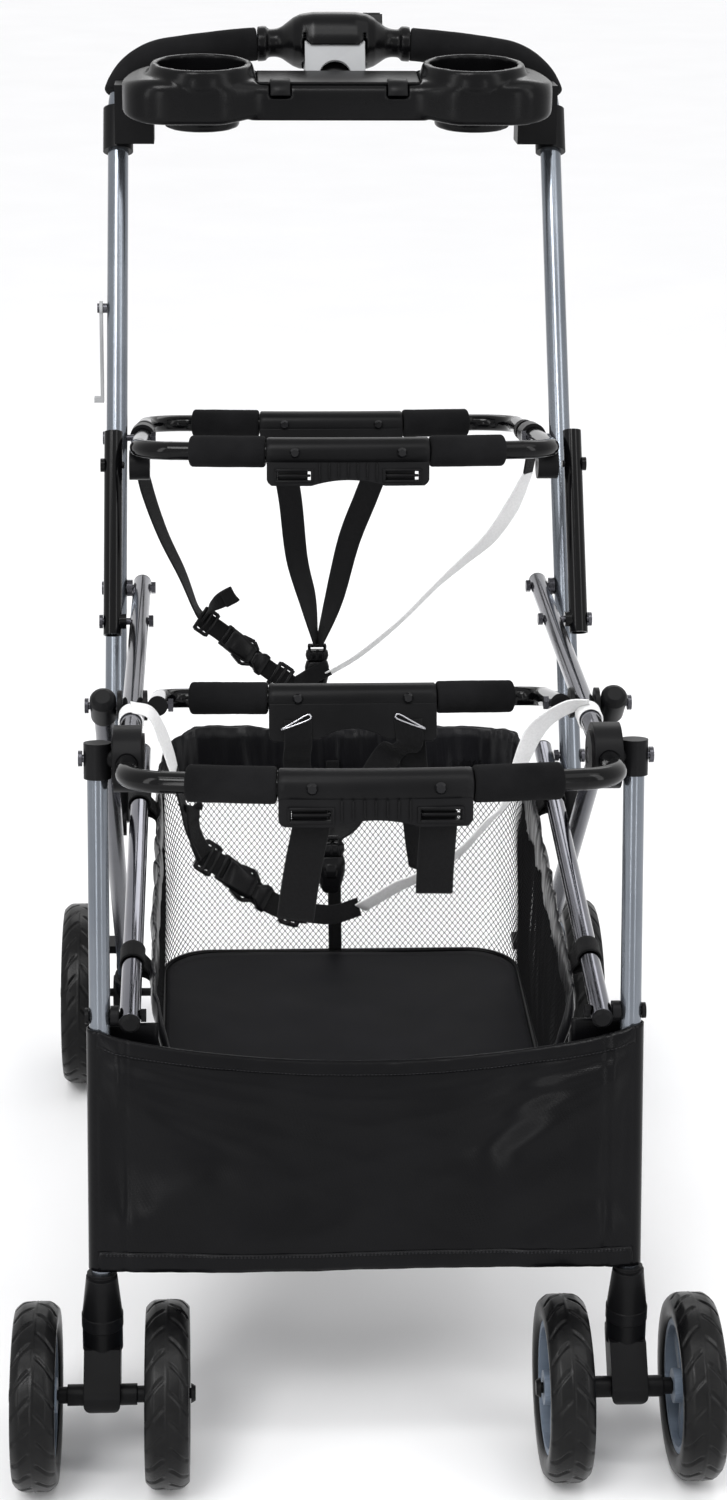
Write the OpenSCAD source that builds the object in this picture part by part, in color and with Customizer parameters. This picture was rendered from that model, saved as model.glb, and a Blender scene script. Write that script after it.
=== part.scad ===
// Folding two seat carrier frame: tube chassis, two seat rings, tray handle, basket and casters.
// Millimetres, X to the right seen from the front, Y to the back, Z up, floor at Z 0.

/* [Frame tubes] */
// Half spacing of the legs and of the handle tubes
leg_half_track = 202; // [198:1:206]
// Step from the leg plane in to the rail plane
rail_inset = 23; // [22:0.5:25]
// Outside diameter of legs, rails and ring bars
tube_d = 16; // [15:0.5:17]
// Outside diameter of the handle tubes
handle_tube_d = 19; // [18:0.5:20]
// Wall thickness of the tubes
tube_wall = 1.5; // [1:0.1:2]
// Diameter of the pivot bolts
bolt_d = 6; // [5:0.5:6]
// Gap on the radius between a pivot bolt and its hole
bolt_gap = 0.1; // [0.05:0.05:0.15]

/* [Side view] */
// Height of the handle pivot above the floor
handle_pivot_z = 555; // [545:1:565]
// Handle pivot behind the middle of the frame
handle_pivot_y = 154; // [148:1:160]
// Lean of the handle tubes back from upright in degrees
handle_lean = 28.6; // [27:0.2:30]
// Height of the front leg pivot above the floor
front_pivot_z = 553; // [546:1:560]
// Front leg pivot ahead of the middle of the frame
front_pivot_reach = 265; // [259:1:271]
// Lean of the front legs in degrees
leg_lean = 9.8; // [9:0.2:10.6]
// Rear leg pivot ahead of the middle of the frame
rear_pivot_reach = 151; // [146:1:156]
// Rear axle behind the middle of the frame
rear_axle_y = 297; // [290:1:304]

/* [Seat rings] */
// Length along the handle from its pivot to the ring pivot
ring_pivot_up = 139; // [134:1:144]
// Strut pivot ahead of the handle pivot, along the rail
strut_step = 95; // [90:1:100]
// Tilt of the seat rings in degrees, front end high
ring_tilt = 9.9; // [9:0.1:10.8]
// Distance from a ring's front bar back to the pivot line
ring_front_reach = 163; // [158:1:168]
// Distance from the pivot line back to the rear bar
ring_rear_reach = 173; // [168:1:178]
// Radius of the shallow bow of every ring bar
bar_bow_r = 700; // [600:10:800]
// Corner bend radius of the ring bars
bar_bend_r = 36; // [32:1:38]
// Width of the moulded saddle on a ring bar
saddle_w = 138; // [130:1:144]
// Gap from a foam grip to the bend beside it
elbow_gap = 1.1; // [0.8:0.1:3]
// Outside diameter of a foam grip
grip_d = 27; // [25:0.5:29]

/* [Handle and tray] */
// Length along the handle from its pivot to the crown of the bow
handle_top = 524; // [514:1:530]
// Corner bend radius of the handle bow
handle_bend_r = 54; // [50:1:60]
// Outside diameter of the handle foam
handle_foam_d = 31; // [29:0.5:33]
// Inside diameter of a cup holder
cup_d = 80; // [76:1:82]
// Depth of a cup holder
cup_depth = 56; // [48:1:60]
// Step from a handle tube in to the middle of a cup holder
cup_inset = 78; // [75:1:81]
// Travel of the fold trigger
trigger_travel = 9; // [6:1:10]

/* [Wheels] */
// Diameter of the front wheels
front_wheel_d = 139; // [134:1:143]
// Diameter of the rear wheels
rear_wheel_d = 176; // [170:1:182]
// Width of a front tyre
tyre_w = 33.5; // [31:0.5:35]
// Half spacing of the two wheels of a caster
caster_half_gap = 50; // [49:0.5:51]
// Distance from the swivel line to the front axle
caster_trail = 22; // [19:1:25]
// Diameter of the axles
axle_d = 8; // [7:0.5:9]

/* [Basket] */
// Height of the basket floor
basket_floor_z = 205; // [198:1:212]
// Thickness of the cloth as built here
cloth_t = 2.4; // [2:0.2:3]
// Width of the harness webbing
strap_w = 25; // [22:1:27]
// Drop of the front buckle below its rear bar
front_hang = 140; // [130:1:150]
// Drop of the rear buckle below its rear bar
rear_hang = 228; // [218:1:238]
// Height of the cloth panel on the front legs
apron_h = 184; // [176:1:192]

/* [Hidden] */
$fn = 48;
rail_x = leg_half_track - rail_inset;
hole_d = bolt_d + 2 * bolt_gap;
seat_gap = 0.15;
saddle_wall = 4.5;
slot_x = saddle_w * 0.33;
handle_pivot = [handle_pivot_y, handle_pivot_z];
front_pivot = [-front_pivot_reach, front_pivot_z];
rail_slope = (handle_pivot_z - front_pivot_z) / (handle_pivot_y + front_pivot_reach);
rail_angle = atan(rail_slope);
function on_rail(y) = [y, front_pivot_z + (y + front_pivot_reach) * rail_slope];
function on_handle(u) = handle_pivot + u * [sin(handle_lean), cos(handle_lean)];
function on_leg(u) = front_pivot - u * [sin(leg_lean), cos(leg_lean)];
function at_x(x, p) = [x, p[0], p[1]];
rear_pivot = on_rail(-rear_pivot_reach);
rear_axle = [rear_axle_y, rear_wheel_d / 2];
rear_lean = atan2(rear_axle[0] - rear_pivot[0], rear_pivot[1] - rear_axle[1]);
strut_pivot = handle_pivot - strut_step * [cos(rail_angle), sin(rail_angle)];
ring_pivot = on_handle(ring_pivot_up);
ring_lug = strut_pivot + ring_pivot - handle_pivot;
latch_up = 262;
latch_point = on_handle(latch_up);
lower_pivot_u = 198;
lower_pivot_down = 154;
lower_front = on_leg(lower_pivot_u);
lower_rear = on_handle(-lower_pivot_down);
lower_angle = atan2(lower_rear[1] - lower_front[1], lower_rear[0] - lower_front[0]);
ring_dir = [cos(ring_tilt), -sin(ring_tilt)];
rear_ring_front = ring_pivot - ring_front_reach * ring_dir;
rear_ring_rear = ring_pivot + ring_rear_reach * ring_dir;
rail_dir = [cos(rail_angle), sin(rail_angle)];
rail_nose = 12;
knuckle_w = 21;
knuckle_d = 50;
knuckle = front_pivot + [-6, 2];
hoop_seat = 12;
front_bar_reach = 105;
front_ring_front = knuckle - front_bar_reach * ring_dir;
back_bar_tilt = 17;
back_bend_r = 20;
back_bar_reach = 101.5;
front_ring_rear = rear_pivot + back_bar_reach * [cos(back_bar_tilt), -sin(back_bar_tilt)];
back_bar_x = rail_x - tube_d - 4;
// Bar bowed away from its arms
function bow_out(x) = asin((x - bar_bend_r) / (bar_bow_r - bar_bend_r));
// Bar bowed towards its arms
function bow_in(x, bend) = asin((x - bend) / (bar_bow_r + bend));
// Place across the frame where the elbow of an inward bowed bar begins
function elbow_at(x, bend) = x - bend * (1 + sin(bow_in(x, bend)));
grip_start = saddle_w / 2 + 1;
grip_end = min(elbow_at(back_bar_x, back_bend_r), elbow_at(rail_x, bar_bend_r)) - elbow_gap;
handle_low = 209;
handle_bow_r = 900;
hub_half = 71;
hub_d = 48;
trigger_drop = 46;
stem_top = -20;
bow_turn = asin((leg_half_track - handle_bend_r) / (handle_bow_r - handle_bend_r));
bow_start = handle_top - handle_bow_r + (handle_bow_r - handle_bend_r) * cos(bow_turn);
clamp_h = 42;
clamp_mid = bow_start - clamp_h / 2 - 1;
leg_len = 417;
leg_top = 8;
stem_y = on_leg(leg_len + 6)[0];
collar_top = 159;
collar_base = 117;
caster_w = 29;
arm_len = 2 * (caster_half_gap - tyre_w * 0.46) - 2;
axle_y = stem_y - caster_trail;
front_r = front_wheel_d / 2;
rear_r = rear_wheel_d / 2;
rear_wheel_x = leg_half_track + 45;
rear_tyre_w = tyre_w + 1;
tray_ahead = 48.6;
tray_rise = 25.3;
tray_mid = on_handle(clamp_mid) + [-tray_ahead, tray_rise];
cup_half_gap = leg_half_track - cup_inset;
cup_step = 40;
tray_half = leg_half_track - 6;
tray_end_r = 36;
bin_half = cup_half_gap - cup_d / 2 - 14;
tab_x = bin_half - 17;
hinge_y = -34;
tray_h = 36;
cup_rim = 8;
brake_step = [34, 16];
apron_top = lower_pivot_u + 14;
apron_low = apron_top + apron_h;
basket_tail = 46;
apron_dip = 26;

// Both sides of the frame
module both() {
  children();
  mirror([1, 0, 0]) children();
}

// Solid round bar between two points
module rod(a, b, d) {
  v = b - a;
  l = norm(v);
  translate(a) rotate([0, acos(v[2] / l), atan2(v[1], v[0])]) cylinder(d = d, h = l);
}

// Round tube between two points
module tube(a, b, d) {
  v = (b - a) / norm(b - a);
  difference() {
    rod(a, b, d);
    rod(a - v, b + v, d - 2 * tube_wall);
  }
}

// Pin lying across the frame at a side view point
module pin(x0, x1, p, d) {
  translate(at_x(x0, p)) rotate([0, 90, 0]) cylinder(d = d, h = x1 - x0);
}

// Bolt with a domed head outside and a nut inside
module bolt(x0, x1, p) {
  pin(x0, x1, p, bolt_d);
  pin(x1, x1 + 3, p, bolt_d + 6);
  translate(at_x(x0 - 4, p)) rotate([0, 90, 0]) cylinder(d = bolt_d + 5, h = 4, $fn = 6);
}

// Frame of the handle: local Z runs up the tubes, local Y is square to them
module in_handle() {
  translate(at_x(0, handle_pivot)) rotate([-handle_lean, 0, 0]) children();
}

// Frame of the front legs, with local Z up the leg from its pivot
module in_leg() {
  translate(at_x(0, front_pivot)) rotate([-leg_lean, 0, 0]) children();
}

// Ring plane with the front bar at its origin and arms running back
module in_front_bar(p) {
  translate(at_x(0, p)) rotate([-ring_tilt, 0, 0]) children();
}

// Ring plane with the rear bar at its origin and arms running forward
module in_rear_bar(p, tilt) {
  translate(at_x(0, p)) rotate([-tilt, 0, 0]) mirror([0, 1, 0]) children();
}

// Part of a ring lying in the local XY plane, swept about a centre
module arc(c, r, from, sweep) {
  translate(c) rotate([0, 0, from]) rotate_extrude(angle = sweep, $fn = 96)
    translate([r, 0]) children();
}

// Weld collar that joins two lengths of bent bar at a point, with the given heading
module weld(p, heading, d) {
  translate(p) rotate([0, 0, heading]) rotate([0, 90, 0])
    cylinder(d = d + 0.16, h = 3, center = true);
}

// Hoop of a ring, bowed away from its arms
module hoop_out(x, reach) {
  t = bow_out(x);
  yc = bar_bow_r - (bar_bow_r - bar_bend_r) * cos(t);
  arc([0, bar_bow_r, 0], bar_bow_r, -90 - t, 2 * t) circle(d = tube_d);
  both() {
    weld([x - bar_bend_r * (1 - sin(t)), yc - bar_bend_r * cos(t), 0], t, tube_d);
    arc([x - bar_bend_r, yc, 0], bar_bend_r, -90 + t, 90 - t) circle(d = tube_d);
    weld([x, yc, 0], 90, tube_d);
    translate([x, yc, 0]) rotate([-90, 0, 0]) cylinder(d = tube_d, h = reach - yc);
  }
}

// Hoop of a ring, bowed towards its arms
module hoop_in(x, reach, bend) {
  t = bow_in(x, bend);
  yc = -bar_bow_r + (bar_bow_r + bend) * cos(t);
  arc([0, -bar_bow_r, 0], bar_bow_r, 90 - t, 2 * t) circle(d = tube_d);
  both() {
    weld([x - bend * (1 + sin(t)), yc - bend * cos(t), 0], -t, tube_d);
    arc([x - bend, yc, 0], bend, -90 - t, 90 + t) circle(d = tube_d);
    weld([x, yc, 0], 90, tube_d);
    translate([x, yc, 0]) rotate([-90, 0, 0]) cylinder(d = tube_d, h = reach - yc);
  }
}

// Foam sleeves threaded on a bowed bar; dir is 1 for a bar bowed out, -1 for one bowed in
module grips(dir) {
  a0 = asin(grip_start / bar_bow_r);
  a1 = asin(grip_end / bar_bow_r);
  for (s = [-1, 1])
    arc([0, dir * bar_bow_r, 0], bar_bow_r, -dir * 90 + (s > 0 ? a0 : -a1), a1 - a0)
      difference() {
        circle(d = grip_d);
        circle(d = tube_d + 2 * seat_gap);
      }
}

// Moulded saddle over the middle of a bar, with strap slots in its flange
module saddle(dir, drop) {
  a = asin(saddle_w / 2 / bar_bow_r);
  out = tube_d / 2 + saddle_wall;
  lip = tube_d / 2 + 4;
  difference() {
    arc([0, dir * bar_bow_r, 0], bar_bow_r, -dir * 90 - a, 2 * a) difference() {
      union() {
        circle(r = out);
        translate([0, -drop]) square([out, drop]);
        translate([-out, -lip]) square([out, lip]);
      }
      circle(d = tube_d + 2 * seat_gap);
      translate([-out - 1, -drop - 1]) square([out + lip - 3, drop + 1 - lip]);
    }
    for (s = [-1, 1]) {
      translate([s * slot_x - strap_w / 2 - 2, -40, 5 - drop]) cube([strap_w + 4, 80, 6]);
      translate([s * slot_x, 0, 0]) rotate([dir * 90, 0, 0]) cylinder(d = 4.2, h = 40);
    }
    translate([0, -40, -drop - 62]) rotate([-90, 0, 0]) cylinder(r = 70, h = 80);
  }
  if (dir > 0)
    for (i = [-2:2])
      translate([i * saddle_w / 16 - 0.8, -out - 0.8, 9.5 - drop]) cube([1.6, 1.8, drop - 22]);
}

// Two screw heads on the face of a saddle, with shanks up to the bar
module saddle_screws(dir) {
  out = tube_d / 2 + saddle_wall;
  for (s = [-1, 1]) {
    x = s * slot_x;
    f = bar_bow_r - sqrt(bar_bow_r * bar_bow_r - x * x);
    y = dir * f;
    translate([x, y - dir * (tube_d / 2 + 0.5), 0]) rotate([dir * 90, 0, 0]) {
      cylinder(d = 3.8, h = out - tube_d / 2 + 0.2);
      translate([0, 0, out - tube_d / 2 + 0.2]) cylinder(d1 = 9, d2 = 6, h = 2.4);
    }
  }
}

// Flat webbing through a list of points, its width along the given direction
module strap(pts, side, w) {
  n = len(pts);
  t = 1.6;
  function dir_at(i) = pts[min(i + 1, n - 1)] - pts[max(i - 1, 0)];
  function unit(v) = v / norm(v);
  function edge(i) = unit(cross(dir_at(i), side)) * t / 2;
  s = unit(side) * w / 2;
  verts = [for (i = [0:n - 1]) let (k = edge(i))
    each [pts[i] - s - k, pts[i] + s - k, pts[i] + s + k, pts[i] - s + k]];
  faces = concat([[0, 1, 2, 3]], [[4 * n - 1, 4 * n - 2, 4 * n - 3, 4 * n - 4]],
    [for (i = [0:n - 2]) for (j = [0:3])
      [4 * i + (j + 1) % 4, 4 * i + j, 4 * i + 4 + j, 4 * i + 4 + (j + 1) % 4]]);
  polyhedron(verts, faces);
}

// Sagging run between two points, dropping by the given amount in the middle
function sag_run(a, b, drop) = [for (i = [0:8]) let (t = i / 8)
  a + (b - a) * t - [0, 0, drop * 4 * t * (1 - t)]];

// Point in the frame of a rear bar, as seen from the side
function rear_point(p, tilt, f, v) =
  p + f * [-cos(tilt), sin(tilt)] + v * [sin(tilt), cos(tilt)];

// Belt set hanging inside one seat ring: two straps from the saddle, two from loops at the sides
module harness(rear, tilt, side, side_tilt, hang) {
  buckle = [-12, rear[0] - 62, rear[1] - hang];
  edge_x = slot_x + strap_w / 2;
  f = tube_d / 2 - edge_x * edge_x / 2 / bar_bow_r - 1;
  top = rear_point(rear, tilt, f, -14);
  low = rear_point(rear, tilt, f, -40);
  for (s = [-1, 1]) {
    hung = sag_run(at_x(s * slot_x, low), buckle + [s * 12, 0, 10], 5);
    beside = at_x(s * (rail_x - tube_d / 2 - 1), side);
    lap = sag_run(beside, buckle + [s * 10, -1, -8], hang * 0.16);
    strap(concat([at_x(s * slot_x, top)], hung), [1, 0, 0], strap_w);
    translate(at_x(s * rail_x, side)) rotate([90 - side_tilt, 0, 0]) difference() {
      cylinder(d = tube_d + 4, h = strap_w, center = true);
      cylinder(d = tube_d + 0.6, h = strap_w + 2, center = true);
    }
    strap(lap, [0, 0.5, 1], strap_w * 0.8);
  }
  translate(buckle - [17, 6, 24]) cube([34, 12, 44]);
}

// One upper side rail, drilled for the four pivots
module upper_rail() {
  a = front_pivot - rail_nose * rail_dir;
  b = handle_pivot + (rail_nose + 1) * rail_dir;
  difference() {
    tube(at_x(rail_x, a), at_x(rail_x, b), tube_d);
    for (p = [front_pivot, rear_pivot, strut_pivot, handle_pivot])
      pin(rail_x - 20, rail_x + 20, p, hole_d);
  }
}

module upper_rail_left() {
  color("silver") mirror([1, 0, 0]) upper_rail();
}

module upper_rail_right() {
  color("silver") upper_rail();
}

// Plug standing on the end of a rail tube, with a shank inside it
module rail_plug() {
  translate([0, 0, -5]) cylinder(d = tube_d - 2 * tube_wall - 2 * seat_gap, h = 5.5);
  cylinder(d = tube_d, h = 1.5);
  translate([0, 0, 1.5]) cylinder(d1 = tube_d, d2 = tube_d - 5, h = 2);
}

// End plugs of the upper rails, and the washers at the rear leg pivot
module rail_plugs() {
  color("black") both() {
    translate(at_x(rail_x, front_pivot - rail_nose * rail_dir))
      rotate([90 + rail_angle, 0, 0]) rail_plug();
    translate(at_x(rail_x, handle_pivot + (rail_nose + 1) * rail_dir))
      rotate([-90 + rail_angle, 0, 0]) rail_plug();
    for (x = [rail_x - tube_d / 2 - 3.8, rail_x + tube_d / 2 + 0.2]) difference() {
      pin(x, x + 3.6, rear_pivot, 24);
      pin(x - 1, x + 6, rear_pivot, hole_d);
    }
  }
}

// Round knuckles on the rail ends that hold the front hoop and carry the leg pivots
module front_knuckles() {
  bore = tube_d + 2 * seat_gap;
  color("black") both() difference() {
    union() {
      pin(rail_x - knuckle_w / 2, rail_x + knuckle_w / 2, knuckle, knuckle_d);
      pin(rail_x - knuckle_w / 2 - 2, rail_x + knuckle_w / 2 + 1, knuckle, knuckle_d - 12);
    }
    rod(at_x(rail_x, front_pivot - (rail_nose + 3.8) * rail_dir),
      at_x(rail_x, front_pivot + 60 * rail_dir), bore);
    translate(at_x(rail_x, knuckle)) rotate([90 - ring_tilt, 0, 0])
      translate([0, 0, hoop_seat]) cylinder(d = bore, h = 60);
    pin(0, rail_x + 40, front_pivot, bolt_d + 7);
  }
}

// Pivot bolts carried by the upper rails
module frame_bolts() {
  leg_out = leg_half_track + tube_d / 2 + 0.4;
  color("dimgray") both() {
    bolt(rail_x - tube_d / 2 - 0.2, leg_out + 3, front_pivot);
    bolt(back_bar_x - tube_d / 2 - 0.2, leg_out + 3.2, rear_pivot);
    bolt(rail_x - tube_d / 2 - 0.2, leg_out, strut_pivot);
    bolt(rail_x - tube_d / 2 - 0.2, leg_half_track + handle_tube_d / 2 + 0.4, handle_pivot);
  }
}

module front_ring_front_bar() {
  color("black") in_front_bar(front_ring_front) hoop_out(rail_x, front_bar_reach - hoop_seat - 0.2);
}

module front_ring_rear_bar() {
  color("black") difference() {
    in_rear_bar(front_ring_rear, back_bar_tilt)
      hoop_in(back_bar_x, back_bar_reach + 12, back_bend_r);
    pin(-leg_half_track, leg_half_track, rear_pivot, hole_d);
  }
}

module front_ring_grips() {
  color("black") {
    in_front_bar(front_ring_front) grips(1);
    in_rear_bar(front_ring_rear, back_bar_tilt) grips(-1);
  }
}

module front_ring_saddles() {
  color("black") {
    in_front_bar(front_ring_front) saddle(1, 34);
    in_rear_bar(front_ring_rear, back_bar_tilt) saddle(-1, 38);
  }
}

module front_ring_screws() {
  color("silver") {
    in_front_bar(front_ring_front) saddle_screws(1);
    in_rear_bar(front_ring_rear, back_bar_tilt) saddle_screws(-1);
  }
}

module front_harness() {
  loop = on_rail(rear_pivot[0] - strap_w - 6);
  color("black") harness(front_ring_rear, back_bar_tilt, loop, -rail_angle, front_hang);
}

// One straight handle tube, drilled for its three pivots
module handle_tube() {
  difference() {
    in_handle()
      tube([leg_half_track, 0, -handle_low], [leg_half_track, 0, bow_start - 1], handle_tube_d);
    for (p = [handle_pivot, ring_pivot, lower_rear])
      pin(leg_half_track - 20, leg_half_track + 20, p, hole_d);
  }
}

module handle_tube_left() {
  color("silver") mirror([1, 0, 0]) handle_tube();
}

module handle_tube_right() {
  color("silver") handle_tube();
}

// Part of the crown arc of the handle, from one angle through a sweep
module crown_arc(from, sweep) {
  arc([0, handle_top - handle_bow_r, 0], handle_bow_r, from, sweep) children();
}

// Bowed crown of the handle, with swaged ends in the straight tubes
module handle_bow() {
  xc = leg_half_track - handle_bend_r;
  bend_x = xc + handle_bend_r * sin(bow_turn);
  bend_y = bow_start + handle_bend_r * cos(bow_turn);
  color("silver") in_handle() rotate([90, 0, 0]) {
    crown_arc(90 - bow_turn, 2 * bow_turn) circle(d = handle_tube_d);
    both() {
      weld([bend_x, bend_y, 0], -bow_turn, handle_tube_d);
      arc([xc, bow_start, 0], handle_bend_r, 0, 90 - bow_turn) circle(d = handle_tube_d);
      translate([leg_half_track, bow_start - 0.5, 0]) rotate([-90, 0, 0])
        cylinder(d = handle_tube_d + 0.16, h = 3);
      translate([leg_half_track, bow_start - 40, 0]) rotate([-90, 0, 0])
        cylinder(d = handle_tube_d - 2 * tube_wall - 2 * seat_gap, h = 41);
    }
  }
}

// Ring shaped section of the handle foam
module foam_ring() {
  difference() {
    circle(d = handle_foam_d);
    circle(d = handle_tube_d + 2 * seat_gap);
  }
}

// Foam sleeves on the crown and corners of the handle
module handle_foam() {
  a0 = asin((hub_half + 1) / handle_bow_r);
  color("black") in_handle() rotate([90, 0, 0]) both() {
    crown_arc(90 - bow_turn, bow_turn - a0) foam_ring();
    arc([leg_half_track - handle_bend_r, bow_start, 0], handle_bend_r, 14, 75.9 - bow_turn) foam_ring();
  }
}

// Rounded oblong in the drawing plane
module oblong(w, h, r) {
  translate([-w / 2, -h / 2 + r]) square([w, h - 2 * r]);
  translate([-w / 2 + r, -h / 2]) square([w - 2 * r, h]);
  for (x = [-1, 1])
    for (y = [-1, 1])
      translate([x * (w / 2 - r), y * (h / 2 - r)]) circle(r = r);
}

// Central hub of the handle with its necks, collars, trigger slots and button slot
module handle_housing() {
  a0 = asin(hub_half / handle_bow_r);
  color("black") in_handle() difference() {
    union() {
      rotate([90, 0, 0]) crown_arc(90 - a0, 2 * a0) circle(d = 25);
      rotate([90, 0, 0]) both() crown_arc(90 - a0, 0.75) circle(d = 33);
      both() translate([36, 0, handle_top - 1.2]) rotate([0, 90, 0]) cylinder(d1 = 44, d2 = 27, h = 21);
      intersection() {
        translate([0, 40, handle_top]) rotate([90, 0, 0])
          linear_extrude(height = 80) oblong(90, hub_d + 2, 19);
        translate([-60, 0, handle_top]) rotate([90, 0, 90])
          linear_extrude(height = 120) oblong(hub_d, hub_d + 2, 20);
      }
      translate([-15, -19, handle_top - trigger_drop]) cube([30, 8, trigger_drop - 12]);
    }
    rotate([90, 0, 0]) crown_arc(89 - a0, 2 * a0 + 2) circle(d = handle_tube_d + 2 * seat_gap);
    both() translate([16.6, -10, handle_top - trigger_drop])
      cube([11.8, 20, trigger_drop + stem_top + trigger_travel + 0.5]);
    translate([17.4, -8, handle_top + 13]) cube([40, 16, 20]);
  }
}

// Moulded feet at the lower ends of the handle, bearing on the rear legs
module handle_feet() {
  end = -handle_low - 1;
  color("black") both() in_handle() translate([leg_half_track, 0, 0]) difference() {
    union() {
      translate([0, 0, end]) cylinder(d = handle_tube_d + 7, h = 42);
      translate([-10, 0, end]) rotate([0, 90, 0]) cylinder(d = handle_tube_d + 5, h = 20);
    }
    translate([0, 0, end + 0.8]) cylinder(d = handle_tube_d + 2 * seat_gap, h = 60);
    translate([0, 0, end - 29]) cylinder(d = handle_tube_d - 2 * tube_wall - 0.6, h = 40);
    translate([-40, 0, -lower_pivot_down]) rotate([0, 90, 0]) cylinder(d = hole_d + 9, h = 80);
  }
}

// Bolts and spacers carried by the handle tubes
module handle_bolts() {
  inner = leg_half_track - handle_tube_d / 2;
  outer = leg_half_track + handle_tube_d / 2;
  color("dimgray") both() {
    bolt(rail_x + tube_d / 2 + 4.6, outer + 0.2, lower_rear);
    bolt(rail_x - tube_d / 2 - 0.2, outer + 0.2, ring_pivot);
    difference() {
      pin(rail_x + tube_d / 2 + 0.4, inner - 0.1, handle_pivot, 15);
      pin(rail_x, leg_half_track, handle_pivot, hole_d);
    }
  }
  color("dimgray") mirror([1, 0, 0]) {
    pin(outer + 0.1, outer + 3.8, latch_point, 9);
    pin(outer + 3, outer + 7.5, latch_point, 4.8);
    pin(outer + 7.2, outer + 9, latch_point, 9);
  }
}

// Frame of the tray, level at the middle of its floor
module in_tray() {
  translate(at_x(0, tray_mid)) rotate([4, 0, 0]) children();
}

// Outline of the tray seen from above
module tray_plan(grow) {
  r = tray_end_r + grow;
  end_x = tray_half - tray_end_r;
  both() {
    translate([cup_half_gap, 0]) circle(r = cup_d / 2 + 11 + grow);
    translate([end_x, -6]) circle(r = r);
    translate([cup_half_gap, -6 - r]) square([end_x - cup_half_gap, 2 * r]);
  }
  translate([-cup_half_gap, hinge_y - grow]) square([2 * cup_half_gap, 66 + 2 * grow]);
}

// Tray with two stepped cup holders and a middle compartment
module parent_tray() {
  rim = tray_h + cup_rim;
  color("black") in_tray() difference() {
    union() {
      linear_extrude(height = tray_h) tray_plan(0);
      translate([0, 0, tray_h - 5]) linear_extrude(height = 5) tray_plan(2.5);
      both() translate([cup_half_gap, 0, 0]) {
        translate([0, 0, rim - cup_depth - 3]) cylinder(d1 = cup_d - 11, d2 = cup_d - 7, h = cup_depth);
        translate([0, 0, tray_h]) cylinder(d1 = cup_d + 15, d2 = cup_d + 10, h = cup_rim);
      }
    }
    both() translate([cup_half_gap, 0, 0]) {
      translate([0, 0, rim - cup_step]) cylinder(d = cup_d, h = cup_step + 1);
      translate([0, 0, rim - cup_depth]) cylinder(d = cup_d - 16, h = cup_depth);
    }
    translate([-bin_half, -24, 3]) cube([2 * bin_half, 48, tray_h]);
    translate([-bin_half - 4, -29.8, tray_h - 3.4]) cube([2 * bin_half + 8, 58.2, 8]);
    for (x = [-tab_x, tab_x])
      translate([x - 9.3, hinge_y, tray_h - 3]) rotate([0, 90, 0]) cylinder(r = 15.2, h = 18.6);
  }
}

// Lid of the middle compartment with two hinge tabs over its front edge
module tray_lid() {
  lid_half = bin_half + 3.4;
  color("black") in_tray() {
    translate([-lid_half, -28.4, tray_h - 3]) cube([2 * lid_half, 56, 3]);
    for (x = [-tab_x, tab_x]) {
      translate([x - 9, -37.6, tray_h - 6.2]) cube([18, 12, 6.2]);
      translate([x - 9, hinge_y, tray_h - 3]) rotate([0, 90, 0]) cylinder(d = 8, h = 18);
      translate([x - 9, -39.2, tray_h - 16]) cube([18, 2.8, 16]);
    }
  }
}

// Clamps that carry the tray on the handle tubes
module tray_clamps() {
  color("black") both() difference() {
    union() {
      in_handle() translate([leg_half_track, 0, clamp_mid - clamp_h / 2])
        cylinder(d = handle_tube_d + 9, h = clamp_h);
      translate(at_x(leg_half_track - 34, on_handle(clamp_mid) + [-34, -8])) cube([36, 34, 54]);
    }
    in_handle() translate([leg_half_track, 0, clamp_mid - 60])
      cylinder(d = handle_tube_d + 2 * seat_gap, h = 120);
    in_tray() translate([0, 0, -0.2]) linear_extrude(height = 80) tray_plan(2.7);
    in_tray() both() translate([cup_half_gap, 0, tray_h + cup_rim - cup_depth - 3.4])
      cylinder(d = cup_d - 6, h = 60);
  }
}

// Squeeze trigger: a front plate with a round notch, and two stems into the hub
module fold_trigger() {
  base = handle_top - trigger_drop;
  color("gray") in_handle() {
    difference() {
      translate([-28, -29.5, base]) cube([56, 4, trigger_drop - 12]);
      translate([0, -40, base]) rotate([-90, 0, 0]) cylinder(r = 15, h = 16);
    }
    both() {
      translate([17, -26, base]) cube([11, 35.5, 6]);
      translate([17, -9.5, base]) cube([11, 19, trigger_drop + stem_top]);
    }
  }
}

// Sliding lock button on top of the housing
module lock_button() {
  color("black") in_handle() translate([26, -7.6, handle_top + 13.3]) {
    cube([20, 15.2, 11]);
    translate([2, 1.5, 11]) cube([16, 12.2, 2]);
  }
}

// Pull rods inside the handle tubes that lift the latch tips
module latch_rods() {
  color("dimgray") both() in_handle() translate([leg_half_track, 0, -handle_low]) {
    translate([0, 0, 0.4]) cylinder(d = handle_tube_d - 2 * tube_wall - 2, h = 26);
    translate([0, 0, 26]) cylinder(d = 4, h = 3);
  }
}

// Hanging latch strip that holds the folded frame shut
module storage_latch() {
  x = leg_half_track + handle_tube_d / 2 + 4;
  p = latch_point;
  color("gray") mirror([1, 0, 0]) {
    difference() {
      union() {
        pin(x, x + 3, p, 13);
        translate(at_x(x, p + [-5, -84])) cube([3, 10, 84]);
        translate(at_x(x, p + [-5, -88])) cube([9, 10, 4]);
      }
      pin(x - 1, x + 5, p, 5);
    }
  }
}

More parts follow.
